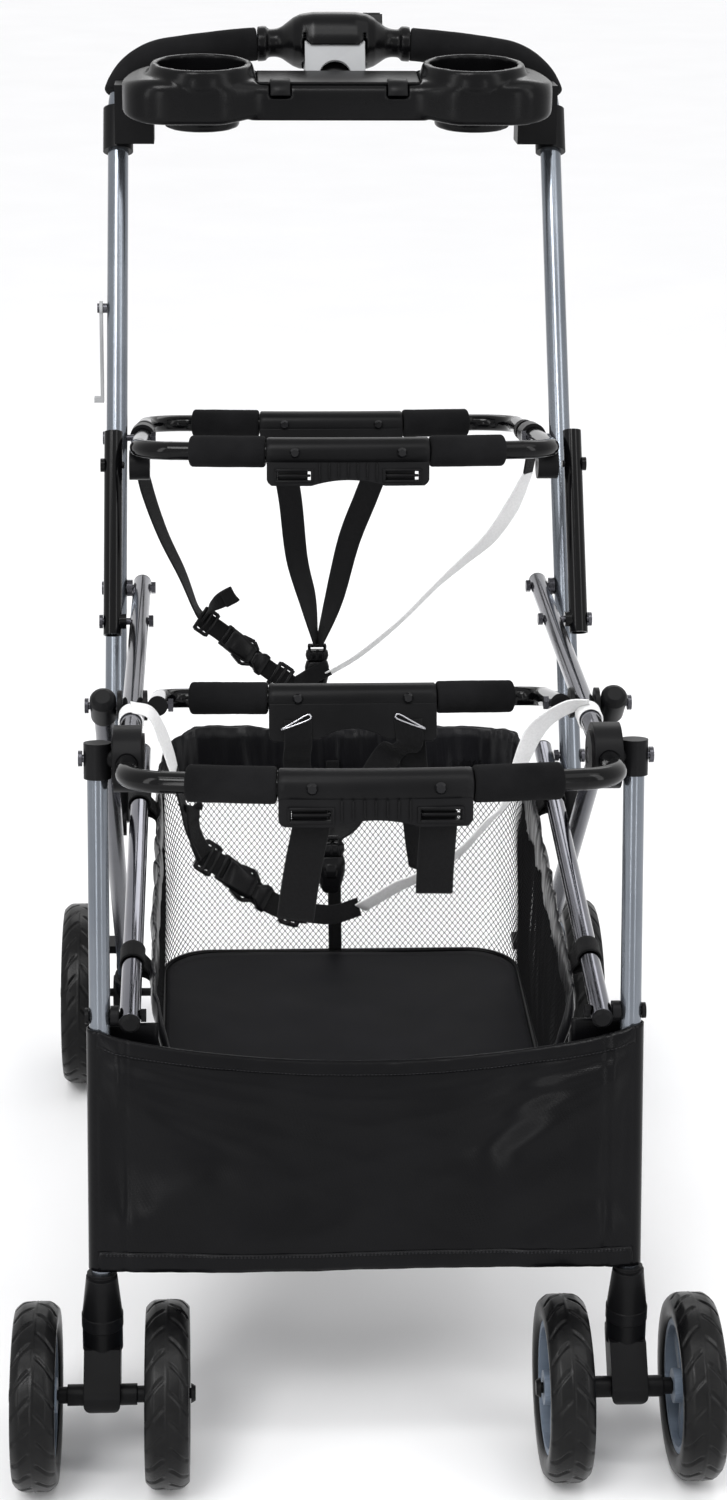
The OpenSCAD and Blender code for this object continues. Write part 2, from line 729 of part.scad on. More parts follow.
// Short struts from the rails up to the rear seat ring
module struts() {
  v = (ring_lug - strut_pivot) / norm(ring_lug - strut_pivot);
  color("black") both() difference() {
    union() {
      tube(at_x(leg_half_track, strut_pivot - 12 * v), at_x(leg_half_track, ring_lug + 30 * v), tube_d);
      pin(leg_half_track - tube_d / 2 - 4, leg_half_track - tube_d / 2 + 2, strut_pivot, 13);
    }
    pin(leg_half_track - 20, leg_half_track + 20, strut_pivot, hole_d);
  }
  color("black") both() {
    pin(leg_half_track - tube_d / 2 - 1.8, leg_half_track + tube_d / 2 + 0.2, ring_lug, bolt_d);
    pin(leg_half_track + tube_d / 2 - 0.5, leg_half_track + tube_d / 2 + 3.2, ring_lug, bolt_d + 6);
  }
}

module rear_ring_front_bar() {
  color("black") difference() {
    in_front_bar(rear_ring_front) hoop_out(rail_x, ring_front_reach + 14);
    pin(-leg_half_track, leg_half_track, ring_pivot, hole_d);
  }
}

module rear_ring_rear_bar() {
  color("black") in_rear_bar(rear_ring_rear, ring_tilt)
    hoop_in(rail_x, ring_rear_reach - 15, bar_bend_r);
}

module rear_ring_grips() {
  color("black") {
    in_front_bar(rear_ring_front) grips(1);
    in_rear_bar(rear_ring_rear, ring_tilt) grips(-1);
  }
}

module rear_ring_saddles() {
  color("black") {
    in_front_bar(rear_ring_front) saddle(1, 34);
    in_rear_bar(rear_ring_rear, ring_tilt) saddle(-1, 38);
  }
}

module rear_ring_screws() {
  color("silver") {
    in_front_bar(rear_ring_front) saddle_screws(1);
    in_rear_bar(rear_ring_rear, ring_tilt) saddle_screws(-1);
  }
}

// Moulded lugs on the arms of the rear ring: strut lugs and splice sleeves
module rear_ring_lugs() {
  color("black") both() difference() {
    union() {
      pin(rail_x - 9, rail_x + 9, ring_lug, 26);
      translate(at_x(rail_x, ring_pivot)) rotate([-90 - ring_tilt, 0, 0]) translate([0, 0, 8])
        cylinder(d = tube_d + 7, h = 34);
    }
    rod(at_x(rail_x, rear_ring_front), at_x(rail_x, rear_ring_rear), tube_d + 2 * seat_gap);
    pin(rail_x - 30, rail_x + 30, ring_lug, hole_d);
  }
}

module rear_harness() {
  loop = ring_pivot + ring_rear_reach * 0.44 * ring_dir;
  color("black") harness(rear_ring_rear, ring_tilt, loop, ring_tilt, rear_hang);
}

// One front leg, drilled for its two pivots
module front_leg() {
  difference() {
    in_leg() tube([leg_half_track, 0, -leg_len], [leg_half_track, 0, leg_top], tube_d);
    for (p = [front_pivot, lower_front])
      pin(leg_half_track - 20, leg_half_track + 20, p, hole_d);
  }
}

module front_leg_left() {
  color("silver") mirror([1, 0, 0]) front_leg();
}

module front_leg_right() {
  color("silver") front_leg();
}

// Flat topped sleeves on the front legs with bosses to the rails, and the lower pivot bolts
module front_leg_caps() {
  cap_d = tube_d + 5;
  color("black") both() {
    difference() {
      union() {
        in_leg() translate([leg_half_track, 0, -15]) cylinder(d = cap_d, h = leg_top + 19);
        pin(rail_x + knuckle_w / 2 + 1.3, leg_half_track - tube_d / 2 + 1, front_pivot, 15);
      }
      in_leg() translate([leg_half_track, 0, -20]) cylinder(d = tube_d + 2 * seat_gap, h = leg_top + 20.2);
      pin(rail_x, leg_half_track + 20, front_pivot, hole_d);
    }
    difference() {
      pin(rail_x + tube_d / 2 + 0.4, leg_half_track - tube_d / 2 - 0.2, lower_front, 15);
      pin(rail_x, leg_half_track, lower_front, hole_d);
    }
    bolt(rail_x - tube_d / 2 - 0.2, leg_half_track + tube_d / 2 + 0.2, lower_front);
  }
}

// Swivel collars at the feet of the front legs
module caster_collars() {
  color("black") both() difference() {
    union() {
      translate([leg_half_track, stem_y, collar_base]) cylinder(d = 32, h = 10);
      translate([leg_half_track, stem_y, collar_base + 10])
        cylinder(d1 = 31, d2 = tube_d + 8, h = collar_top - collar_base - 10);
      in_leg() translate([leg_half_track, 0, -leg_len - 4]) cylinder(d = tube_d + 7, h = 22);
    }
    in_leg() translate([leg_half_track, 0, -leg_len - 0.3]) cylinder(d = tube_d + 2 * seat_gap, h = 80);
    translate([leg_half_track, stem_y, collar_base - 1]) cylinder(d = 10.2, h = 17);
    translate([leg_half_track - 40, stem_y - 40, collar_base - 30]) cube([80, 80, 30]);
  }
}

// Cloth panel across the front legs, folded round each leg, its top edge dipping in the middle
module front_apron() {
  g = tube_d / 2 + 0.6;
  dip_half = leg_half_track - tube_d / 2 - 4;
  dip_r = (dip_half * dip_half + apron_dip * apron_dip) / 2 / apron_dip;
  color("black") in_leg() difference() {
    translate([0, 0, -apron_low]) linear_extrude(height = apron_low - apron_top) {
      translate([-leg_half_track, -g - cloth_t]) square([2 * leg_half_track, cloth_t]);
      both() {
        difference() {
          translate([leg_half_track, 0]) circle(r = g + cloth_t);
          translate([leg_half_track, 0]) circle(r = g);
          translate([leg_half_track - 40, -40]) square([40, 80]);
        }
        translate([leg_half_track - 44, g]) square([44, cloth_t]);
      }
    }
    translate([0, 40, dip_r - apron_top - apron_dip]) rotate([90, 0, 0])
      cylinder(r = dip_r, h = 80, $fn = 200);
  }
}

// One lower side rail, drilled at its front pivot
module lower_rail() {
  v = (lower_rear - lower_front) / norm(lower_rear - lower_front);
  difference() {
    tube(at_x(rail_x, lower_front - 9 * v), at_x(rail_x, lower_rear + 12 * v), tube_d);
    pin(rail_x - 20, rail_x + 20, lower_front, hole_d);
  }
}

module lower_rail_left() {
  color("silver") mirror([1, 0, 0]) lower_rail();
}

module lower_rail_right() {
  color("silver") lower_rail();
}

// Rounded plugs in both ends of the lower rails
module lower_rail_plugs() {
  v = (lower_rear - lower_front) / norm(lower_rear - lower_front);
  color("black") both() {
    translate(at_x(rail_x, lower_front - 9.2 * v)) rotate([90 + lower_angle, 0, 0]) rail_plug();
    translate(at_x(rail_x, lower_rear + 12.2 * v)) rotate([-90 + lower_angle, 0, 0]) rail_plug();
  }
}

// Open topped cloth basket hung between the lower rails
module basket() {
  hw = rail_x - tube_d / 2 - 7;
  y0 = lower_front[0] + 24;
  y1 = lower_rear[0] + basket_tail;
  top0 = lower_front[1] - 4;
  top1 = lower_rear[1] + 6;
  module side(g) {
    up = g > 0 ? 40 : 0;
    polygon([[y0 + g, top0 + up], [y0 + g, basket_floor_z + g],
      [y1 - g, basket_floor_z + g], [y1 - 26 - g, top1 + up]]);
  }
  color("black") difference() {
    translate([-hw, 0, 0]) rotate([90, 0, 90]) linear_extrude(height = 2 * hw) side(0);
    translate([-hw + cloth_t, 0, 0]) rotate([90, 0, 90])
      linear_extrude(height = 2 * (hw - cloth_t)) side(cloth_t);
  }
  color("black") both() for (t = [0.2, 0.82]) {
    p = lower_front + t * (lower_rear - lower_front);
    translate(at_x(rail_x, p)) rotate([90 + lower_angle, 0, 0]) difference() {
      union() {
        cylinder(d = tube_d + 4, h = strap_w, center = true);
        translate([hw - rail_x - 0.5, -tube_d - 10, -strap_w / 2]) cube([2, tube_d + 10, strap_w]);
        translate([hw - rail_x - 0.5, -1, -strap_w / 2]) cube([rail_x - hw - tube_d / 2 + 1, 2, strap_w]);
      }
      cylinder(d = tube_d + 0.6, h = strap_w + 2, center = true);
    }
  }
}

// Side view of a caster housing, from the swivel down to the axle
module caster_side() {
  hull() {
    translate([-caster_trail, front_r]) circle(d = caster_w - 2);
    translate([-caster_trail - caster_w / 2 + 1, front_r]) square([caster_w - 2, 4]);
    translate([-caster_w / 2, collar_base - 20]) square([caster_w, 6]);
  }
}

// Front view of a caster housing with its round foot
module caster_front() {
  translate([0, front_r]) circle(d = caster_w - 1);
  translate([-caster_w / 2 + 0.5, front_r]) square([caster_w - 1, collar_base]);
}

// Swivel housing of a caster with its stem and stepped axle arms
module caster() {
  top_z = collar_base - 0.4;
  translate([0, stem_y, 0]) {
    translate([0, 0, top_z - 1]) cylinder(d = 10, h = 16);
    translate([0, 0, top_z - 19]) cylinder(d = caster_w + 2, h = 19);
    intersection() {
      translate([-caster_w, 0, 0]) rotate([90, 0, 90])
        linear_extrude(height = 2 * caster_w) caster_side();
      translate([0, 60, 0]) rotate([90, 0, 0]) linear_extrude(height = 120) caster_front();
    }
    translate([-arm_len / 2, -caster_trail, front_r]) rotate([0, 90, 0])
      cylinder(d = axle_d + 4.5, h = arm_len);
    translate([-arm_len / 2 + 7, -caster_trail, front_r]) rotate([0, 90, 0])
      cylinder(d = axle_d + 8, h = arm_len - 14);
  }
}

// Axle of a caster with retaining caps outside the wheels
module caster_axle() {
  end = caster_half_gap + tyre_w / 2 + 1;
  translate([-end, axle_y, front_r]) rotate([0, 90, 0]) cylinder(d = axle_d, h = 2 * end);
  for (s = [0, 1]) mirror([s, 0, 0]) translate([end, axle_y, front_r]) rotate([0, 90, 0])
    cylinder(d1 = 15, d2 = 11, h = 3.5);
}

module caster_left() {
  color("black") translate([-leg_half_track, 0, 0]) {
    caster();
    caster_axle();
  }
}

module caster_right() {
  color("black") translate([leg_half_track, 0, 0]) {
    caster();
    caster_axle();
  }
}

// Tyre with a raised middle rib and two grooves
module tyre(r, w, bead) {
  rotate([0, 90, 0]) rotate_extrude($fn = 96) polygon([
    [bead, -w * 0.40], [bead + 3, -w * 0.47], [r - 9, -w / 2], [r - 4, -w * 0.46], [r - 1.4, -w * 0.36],
    [r - 0.7, -w * 0.14], [r - 2.4, -w * 0.12], [r - 2.4, -w * 0.09], [r, -w * 0.07],
    [r, w * 0.07], [r - 2.4, w * 0.09], [r - 2.4, w * 0.12], [r - 0.7, w * 0.14],
    [r - 1.4, w * 0.36], [r - 4, w * 0.46], [r - 9, w / 2], [bead + 3, w * 0.47], [bead, w * 0.40]]);
}

// Moulded hub with a deep rim, spokes and an axle boss
module hub(bead, w, spokes) {
  rim = bead - seat_gap;
  rotate([0, 90, 0]) {
    difference() {
      cylinder(r = rim, h = w * 0.8, center = true);
      cylinder(r = rim - 5, h = w + 2, center = true);
    }
    difference() {
      union() {
        cylinder(r = 13, h = w * 0.92, center = true);
        for (i = [0:spokes - 1]) rotate([0, 0, i * 360 / spokes])
          translate([10, -5, -w * 0.26]) cube([rim - 13, 10, w * 0.52]);
        cylinder(r = rim - 3, h = 3, center = true);
      }
      cylinder(d = axle_d + 0.1, h = w + 2, center = true);
    }
  }
}

module front_wheel_at(x) {
  translate([x, axle_y, front_r]) children();
}

module front_tyre_left_outer() {
  color("black") front_wheel_at(-leg_half_track - caster_half_gap) tyre(front_r, tyre_w, front_r * 0.72);
}

module front_hub_left_outer() {
  color("gray") front_wheel_at(-leg_half_track - caster_half_gap) hub(front_r * 0.72, tyre_w, 6);
}

module front_tyre_left_inner() {
  color("black") front_wheel_at(-leg_half_track + caster_half_gap) tyre(front_r, tyre_w, front_r * 0.72);
}

module front_hub_left_inner() {
  color("gray") front_wheel_at(-leg_half_track + caster_half_gap) hub(front_r * 0.72, tyre_w, 6);
}

module front_tyre_right_inner() {
  color("black") front_wheel_at(leg_half_track - caster_half_gap) tyre(front_r, tyre_w, front_r * 0.72);
}

module front_hub_right_inner() {
  color("gray") front_wheel_at(leg_half_track - caster_half_gap) hub(front_r * 0.72, tyre_w, 6);
}

module front_tyre_right_outer() {
  color("black") front_wheel_at(leg_half_track + caster_half_gap) tyre(front_r, tyre_w, front_r * 0.72);
}

module front_hub_right_outer() {
  color("gray") front_wheel_at(leg_half_track + caster_half_gap) hub(front_r * 0.72, tyre_w, 6);
}

// Rear legs with rounded top caps and moulded feet
module rear_legs() {
  v = (rear_axle - rear_pivot) / norm(rear_axle - rear_pivot);
  color("silver") both() difference() {
    tube(at_x(leg_half_track, rear_pivot - 10 * v), at_x(leg_half_track, rear_axle - 12 * v), tube_d);
    pin(leg_half_track - 20, leg_half_track + 20, rear_pivot, hole_d);
  }
}

// Rounded cap over the top of a rear leg, bored for the leg and its pivot
module rear_leg_cap() {
  d = tube_d + 5;
  difference() {
    translate(at_x(leg_half_track, rear_pivot)) rotate([rear_lean, 0, 0]) difference() {
      union() {
        translate([0, 0, -16]) cylinder(d = d, h = 26);
        translate([0, 0, 10]) cylinder(d1 = d, d2 = d - 3, h = 3);
        translate([0, 0, 13]) cylinder(d1 = d - 3, d2 = d - 9, h = 3);
      }
      translate([0, 0, -20]) cylinder(d = tube_d + 2 * seat_gap, h = 30.2);
    }
    pin(leg_half_track - 20, leg_half_track + 20, rear_pivot, hole_d);
  }
}

// Rear axle with leg feet, leg caps and wheel retainers
module rear_axle_set() {
  v = (rear_axle - rear_pivot) / norm(rear_axle - rear_pivot);
  foot = leg_half_track;
  end = rear_wheel_x + rear_tyre_w / 2 + 1;
  color("black") {
    translate(at_x(-end, rear_axle)) rotate([0, 90, 0]) cylinder(d = axle_d, h = 2 * end);
    both() {
      translate(at_x(end, rear_axle)) rotate([0, 90, 0]) cylinder(d1 = 15, d2 = 11, h = 3.5);
      difference() {
        union() {
          pin(foot - 12, foot + 14, rear_axle, 34);
          rod(at_x(foot, rear_axle), at_x(foot, rear_axle - 46 * v), tube_d + 7);
        }
        rod(at_x(foot, rear_axle - 11.8 * v), at_x(foot, rear_axle - 80 * v), tube_d + 2 * seat_gap);
      }
      difference() {
        union() {
          pin(foot - 8, foot - 4, rear_axle + brake_step, 14);
          translate(at_x(foot - 8, rear_axle + [4, 9])) cube([4, brake_step[0] - 4, 12]);
        }
        pin(foot - 20, foot, rear_axle + brake_step, 6.2);
      }
      rear_leg_cap();
    }
  }
}

module rear_wheel_at(x) {
  translate(at_x(x, rear_axle)) children();
}

module rear_tyre_left() {
  color("black") rear_wheel_at(-rear_wheel_x) tyre(rear_r, rear_tyre_w, rear_r * 0.74);
}

module rear_hub_left() {
  color("gray") rear_wheel_at(-rear_wheel_x) hub(rear_r * 0.74, rear_tyre_w, 6);
}

module rear_tyre_right() {
  color("black") rear_wheel_at(rear_wheel_x) tyre(rear_r, rear_tyre_w, rear_r * 0.74);
}

module rear_hub_right() {
  color("gray") rear_wheel_at(rear_wheel_x) hub(rear_r * 0.74, rear_tyre_w, 6);
}

// Foot brake pedal beside a rear wheel, with its pivot pin
module brake_pedal() {
  p = rear_axle + brake_step;
  pin(leg_half_track - 7.4, leg_half_track + 12, p, 6);
  pin(leg_half_track - 3.6, leg_half_track + 12, p, 13);
  translate(at_x(leg_half_track - 3.6, p + [0, -4])) cube([15.6, 50, 8]);
  translate(at_x(leg_half_track - 12, p + [30, -4])) cube([36, 26, 8]);
}

module brake_pedal_left() {
  color("black") mirror([1, 0, 0]) brake_pedal();
}

module brake_pedal_right() {
  color("black") brake_pedal();
}

upper_rail_left();
upper_rail_right();
rail_plugs();
front_knuckles();
frame_bolts();
front_ring_front_bar();
front_ring_rear_bar();
front_ring_grips();
front_ring_saddles();
front_ring_screws();
front_harness();
handle_tube_left();
handle_tube_right();
handle_bow();
handle_foam();
handle_housing();
handle_feet();
handle_bolts();
parent_tray();
tray_clamps();
tray_lid();
fold_trigger();
lock_button();
latch_rods();
storage_latch();
struts();
rear_ring_front_bar();
rear_ring_rear_bar();
rear_ring_grips();
rear_ring_saddles();
rear_ring_screws();
rear_ring_lugs();
rear_harness();
front_leg_left();
front_leg_right();
front_leg_caps();
caster_collars();
front_apron();
lower_rail_left();
lower_rail_right();
lower_rail_plugs();
basket();
caster_left();
caster_right();
front_tyre_left_outer();
front_hub_left_outer();
front_tyre_left_inner();
front_hub_left_inner();
front_tyre_right_inner();
front_hub_right_inner();
front_tyre_right_outer();
front_hub_right_outer();
rear_legs();
rear_axle_set();
rear_tyre_left();
rear_hub_left();
rear_tyre_right();
rear_hub_right();
brake_pedal_left();
brake_pedal_right();
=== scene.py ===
import math

import bmesh
import bpy
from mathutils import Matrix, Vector, noise


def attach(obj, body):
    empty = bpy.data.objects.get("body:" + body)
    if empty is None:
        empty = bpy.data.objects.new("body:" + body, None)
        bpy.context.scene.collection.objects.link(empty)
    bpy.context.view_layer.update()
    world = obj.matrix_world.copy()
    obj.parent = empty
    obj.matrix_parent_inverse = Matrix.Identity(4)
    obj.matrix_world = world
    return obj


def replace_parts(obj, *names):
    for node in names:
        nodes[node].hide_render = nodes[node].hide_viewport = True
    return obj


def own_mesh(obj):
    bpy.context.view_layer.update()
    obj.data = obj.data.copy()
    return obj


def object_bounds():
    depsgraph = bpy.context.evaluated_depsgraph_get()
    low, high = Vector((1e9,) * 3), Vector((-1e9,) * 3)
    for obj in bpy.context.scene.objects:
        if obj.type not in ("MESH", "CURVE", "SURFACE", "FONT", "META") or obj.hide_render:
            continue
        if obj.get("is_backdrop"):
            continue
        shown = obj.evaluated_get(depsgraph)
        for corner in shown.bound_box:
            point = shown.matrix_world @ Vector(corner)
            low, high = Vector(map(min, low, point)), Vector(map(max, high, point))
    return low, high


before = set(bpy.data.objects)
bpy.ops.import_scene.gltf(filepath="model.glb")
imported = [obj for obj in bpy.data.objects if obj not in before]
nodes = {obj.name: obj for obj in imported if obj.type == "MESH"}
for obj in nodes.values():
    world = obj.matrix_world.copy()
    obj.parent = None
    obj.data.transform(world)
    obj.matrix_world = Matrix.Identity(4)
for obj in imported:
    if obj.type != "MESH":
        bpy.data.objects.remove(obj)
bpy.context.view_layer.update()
scene = bpy.context.scene
MM = 0.001

# Shared sizes of the frame, in millimetres and radians; Y runs to the back and Z up
TRACK = 202.0
RAIL_X = 179.0
TUBE_R = 8.0
HANDLE_TUBE_R = 9.5
LEAN = math.radians(28.6)
LEG_LEAN = math.radians(9.8)
RING_TILT = math.radians(9.9)
BACK_TILT = math.radians(17.0)
BOW_R = 700.0
SADDLE_W = 138.0
SLOT_X = SADDLE_W * 0.33
SLOT_BOW = SLOT_X * SLOT_X / 2 / BOW_R
GRIP_END = 134.0
GRIP_R = 13.5
STRAP_W = 25.0
FRONT_WHEEL_R = 69.5
REAR_WHEEL_R = 88.0
HANDLE_PIVOT = Vector((0, 154, 555))
FRONT_PIVOT = Vector((0, -265, 553))
SLOPE = (HANDLE_PIVOT.z - FRONT_PIVOT.z) / (HANDLE_PIVOT.y - FRONT_PIVOT.y)
UP = Vector((0, 0, 1))


def leaning(origin, angle):
    """Maps places in a part's own frame, tipped about X at its origin, to the shared frame."""
    c, s = math.cos(angle), math.sin(angle)

    def place(x, y, z):
        return Vector((x, origin.y + y * c + z * s, origin.z - y * s + z * c))
    return place


def way(place, x, y, z):
    """Direction in the shared frame of a direction in a part's own frame."""
    return (place(x, y, z) - place(0, 0, 0)).normalized()


def on_rail(y):
    return Vector((0, y, FRONT_PIVOT.z + (y - FRONT_PIVOT.y) * SLOPE))


def at_x(x, p):
    return Vector((x, p.y, p.z))


in_handle = leaning(HANDLE_PIVOT, LEAN)
in_leg = leaning(FRONT_PIVOT, LEG_LEAN)
# Pivots, bars and axles, by their distances along the tubes that carry them
RING_PIVOT = in_handle(0, 0, 139)
RING_DIR = Vector((0, math.cos(RING_TILT), -math.sin(RING_TILT)))
REAR_RING_FRONT = RING_PIVOT - 163 * RING_DIR
REAR_RING_REAR = RING_PIVOT + 173 * RING_DIR
FRONT_RING_FRONT = FRONT_PIVOT + Vector((0, -6, 2)) - 105 * RING_DIR
FRONT_RING_REAR = on_rail(-151) + 101.5 * Vector((0, math.cos(BACK_TILT), -math.sin(BACK_TILT)))
LOWER_FRONT = in_leg(0, 0, -198)
LOWER_REAR = in_handle(0, 0, -154)
FRONT_AXLE = Vector((0, in_leg(0, 0, -423).y - 22, FRONT_WHEEL_R))
REAR_AXLE = Vector((0, 297, REAR_WHEEL_R))


def unit(x):
    """Number held between 0 and 1."""
    return max(0.0, min(1.0, x))


def ease(low, high, x):
    """Smooth step from 0 at low to 1 at high."""
    t = unit((x - low) / (high - low))
    return t * t * (3 - 2 * t)


def bell(x, width):
    return math.exp(-(x / width) ** 2)


def wobble(x, y, z):
    return noise.noise(Vector((x, y, z)))


def around(count):
    """Angles of even steps round a circle."""
    return [2 * math.pi * j / count for j in range(count)]


def sweep(first, by, count):
    """Even angles in radians, from one in degrees through a turn in degrees."""
    return [math.radians(first + by * i / (count - 1)) for i in range(count)]


def arc(centre, side, up, radius, angles):
    """Points at these angles of a circle in the plane of two directions."""
    return [centre + (side * math.cos(a) + up * math.sin(a)) * radius for a in angles]


def srgb(r, g, b):
    """Linear colour of an 8 bit display colour."""
    out = []
    for c in (r, g, b):
        c /= 255.0
        out.append(c / 12.92 if c <= 0.04045 else ((c + 0.055) / 1.055) ** 2.4)
    return (*out, 1.0)


class Nodes:
    """Small builder for the node tree of a material or a world."""

    def __init__(self, owner, shader="Principled BSDF"):
        self.owner = owner
        owner.use_nodes = True
        self.tree = owner.node_tree
        self.shader = self.tree.nodes[shader]

    def add(self, kind, **inputs):
        node = self.tree.nodes.new(kind)
        for key, value in inputs.items():
            name = key.replace("_", " ")
            if name in node.inputs:
                node.inputs[name].default_value = value
            else:
                setattr(node, key, value)
        return node

    def link(self, a, b):
        self.tree.links.new(a, b)

    def feed(self, socket, value):
        self.link(value, self.shader.inputs[socket])

    def through(self, kind, socket, value, output, **inputs):
        """New node with a value led into one socket; gives one of its outputs."""
        node = self.add(kind, **inputs)
        self.link(value, node.inputs[socket])
        return node.outputs[output]

    def coords(self, scale=(1, 1, 1), uv=False):
        source = self.add("ShaderNodeTexCoord").outputs["UV" if uv else "Object"]
        return self.through("ShaderNodeMapping", "Vector", source, "Vector", Scale=scale)

    def noise(self, vector, scale, detail, rough=0.55):
        return self.through("ShaderNodeTexNoise", "Vector", vector, "Fac", Scale=scale, Detail=detail,
                            Roughness=rough)

    def ramp(self, value, stops):
        node = self.add("ShaderNodeValToRGB")
        for item, (place, colour) in zip(node.color_ramp.elements, stops):
            item.position = place
            item.color = colour if len(colour) == 4 else (*colour, 1)
        self.link(value, node.inputs["Fac"])
        return node.outputs["Color"]

    def math(self, operation, a, b):
        node = self.add("ShaderNodeMath", operation=operation)
        for socket, value in zip(node.inputs, (a, b)):
            if isinstance(value, float):
                socket.default_value = value
            else:
                self.link(value, socket)
        return node.outputs[0]

    def mixed(self, a, b, share_b, share_a=None):
        """Sum of two values, each times its share."""
        if share_a is not None:
            a = self.math("MULTIPLY", a, share_a)
        return self.math("ADD", a, self.math("MULTIPLY", b, share_b))

    def choose(self, factor, colour):
        """Colour mix by a factor, with its second colour plain; gives the node."""
        node = self.add("ShaderNodeMix", data_type="RGBA")
        self.link(factor, node.inputs["Factor"])
        node.inputs[7].default_value = colour
        return node

    def wave(self, vector, scale, direction):
        return self.through("ShaderNodeTexWave", "Vector", vector, "Fac", Scale=scale, wave_type="BANDS",
                            bands_direction=direction)

    def span(self, value, low, high):
        return self.through("ShaderNodeMapRange", "Value", value, "Result", To_Min=low, To_Max=high)

    def bump(self, height, strength, distance, edge=0.0):
        node = self.add("ShaderNodeBump", Strength=strength, Distance=distance)
        self.link(height, node.inputs["Height"])
        if edge:
            rounding = self.add("ShaderNodeBevel", Radius=edge, samples=4)
            self.link(rounding.outputs["Normal"], node.inputs["Normal"])
        self.feed("Normal", node.outputs["Normal"])

    def set(self, **values):
        for key, value in values.items():
            self.shader.inputs[key.replace("_", " ")].default_value = value


def new_nodes(name):
    return Nodes(bpy.data.materials.new(name))


def metal_paint(name, dark, light, metallic, rough, edge=0.0008, wear=1.0, spec=0.5):
    """Painted or plated tube with faint drawn lines, handling marks and a soft colour drift."""
    n = new_nodes(name)
    v = n.coords()
    drift = n.noise(v, 9.0, 4.0)
    n.feed("Base Color", n.ramp(drift, [(0.25, dark), (0.75, light)]))
    marks = n.noise(n.coords((900, 900, 60)), 1.0, 2.0)
    worn = n.mixed(marks, drift, 0.4, 0.3 + 0.3 * wear)
    n.feed("Roughness", n.span(worn, rough * (1 - 0.25 * wear), rough * (1 + 0.3 * wear)))
    n.bump(n.noise(v, 120.0 + 580.0 * wear, 2.0), 0.015 + 0.035 * wear, 0.0002, edge)
    n.set(Metallic=metallic, Specular_IOR_Level=spec)
    return n.owner


def moulded(name, dark, light, rough, grain=900.0, grain_depth=0.12, spec=0.085):
    """Injection moulded plastic: fine spark grain, sheen drift and scuffed edges."""
    n = new_nodes(name)
    v = n.coords()
    drift = n.noise(v, 14.0, 4.0)
    geometry = n.add("ShaderNodeNewGeometry")
    worn = n.ramp(geometry.outputs["Pointiness"], [(0.50, (0, 0, 0)), (0.62, (1, 1, 1))])
    scuffed = (light[0] * 1.9, light[1] * 1.9, light[2] * 1.9, 1)
    mix = n.choose(n.math("MULTIPLY", worn, 0.35), scuffed)
    n.link(n.ramp(drift, [(0.3, dark), (0.75, light)]), mix.inputs[6])
    n.feed("Base Color", mix.outputs[2])
    fine = n.noise(v, grain, 2.0)
    n.feed("Roughness", n.span(n.mixed(drift, fine, 0.5, 0.5), rough * 0.8, rough * 1.2))
    n.bump(fine, grain_depth, 0.0003, 0.0012)
    n.set(Specular_IOR_Level=spec)
    return n.owner


def foam_material(name):
    """Closed cell foam with open pores and rubbed patches."""
    n = new_nodes(name)
    v = n.coords()
    cells = n.through("ShaderNodeTexVoronoi", "Vector", v, "Distance", Scale=850.0)
    pores = n.ramp(cells, [(0.05, (0, 0, 0)), (0.45, (1, 1, 1))])
    rub = n.noise(v, 22.0, 5.0)
    n.feed("Base Color", n.ramp(rub, [(0.3, srgb(12, 12, 13)), (0.8, srgb(26, 26, 27))]))
    n.feed("Roughness", n.span(rub, 0.82, 0.97))
    n.bump(n.mixed(pores, n.noise(v, 120.0, 3.0), 0.6), 0.35, 0.0005)
    n.set(Specular_IOR_Level=0.05, Sheen_Weight=0.01, Sheen_Roughness=0.6)
    return n.owner


def rubber(name):
    """Moulded tyre compound with dusty shoulders and flow marks."""
    n = new_nodes(name)
    v = n.coords()
    dust = n.noise(v, 35.0, 6.0, 0.65)
    n.feed("Base Color", n.ramp(dust, [(0.35, srgb(7, 7, 8)), (0.85, srgb(22, 22, 22))]))
    n.feed("Roughness", n.span(dust, 0.2, 0.4))
    n.bump(n.mixed(n.noise(v, 480.0, 3.0), n.noise(v, 60.0, 2.0), 0.7), 0.16, 0.0005)
    n.set(Specular_IOR_Level=0.14)
    return n.owner


def woven(name, dark, light, thread, rough, depth, sheen, uv=False, spec=0.06):
    """Plain weave cloth: two sets of crossing threads, uneven dye, a painted highlight on the thread crowns
    in its colour, and a fibre sheen.
    """
    n = new_nodes(name)
    v = n.coords(uv=uv)
    if uv:
        a, b = n.wave(v, thread, "X"), n.wave(v, thread, "Y")
    else:
        a, b = n.wave(n.coords((1, 1, 0.2)), thread, "DIAGONAL"), n.wave(v, thread, "Z")
    threads_and_painted_sheen = n.math("MAXIMUM", a, b)
    # the colour mixes a random dye drift with the weave, whose thread crowns are lightened as a painted
    # highlight
    dye_and_painted_sheen = n.mixed(n.noise(v, 40.0 if uv else 16.0, 5.0), threads_and_painted_sheen, 0.25, 0.75)
    n.feed("Base Color", n.ramp(dye_and_painted_sheen, [(0.25, dark), (0.85, light)]))
    n.feed("Roughness", n.span(dye_and_painted_sheen, rough * 0.85, rough * 1.15))
    n.bump(n.mixed(threads_and_painted_sheen, n.noise(v, 260.0, 2.0), 0.35), depth, 0.0004)
    n.set(Sheen_Weight=sheen, Sheen_Roughness=0.45, Specular_IOR_Level=spec)
    return n.owner


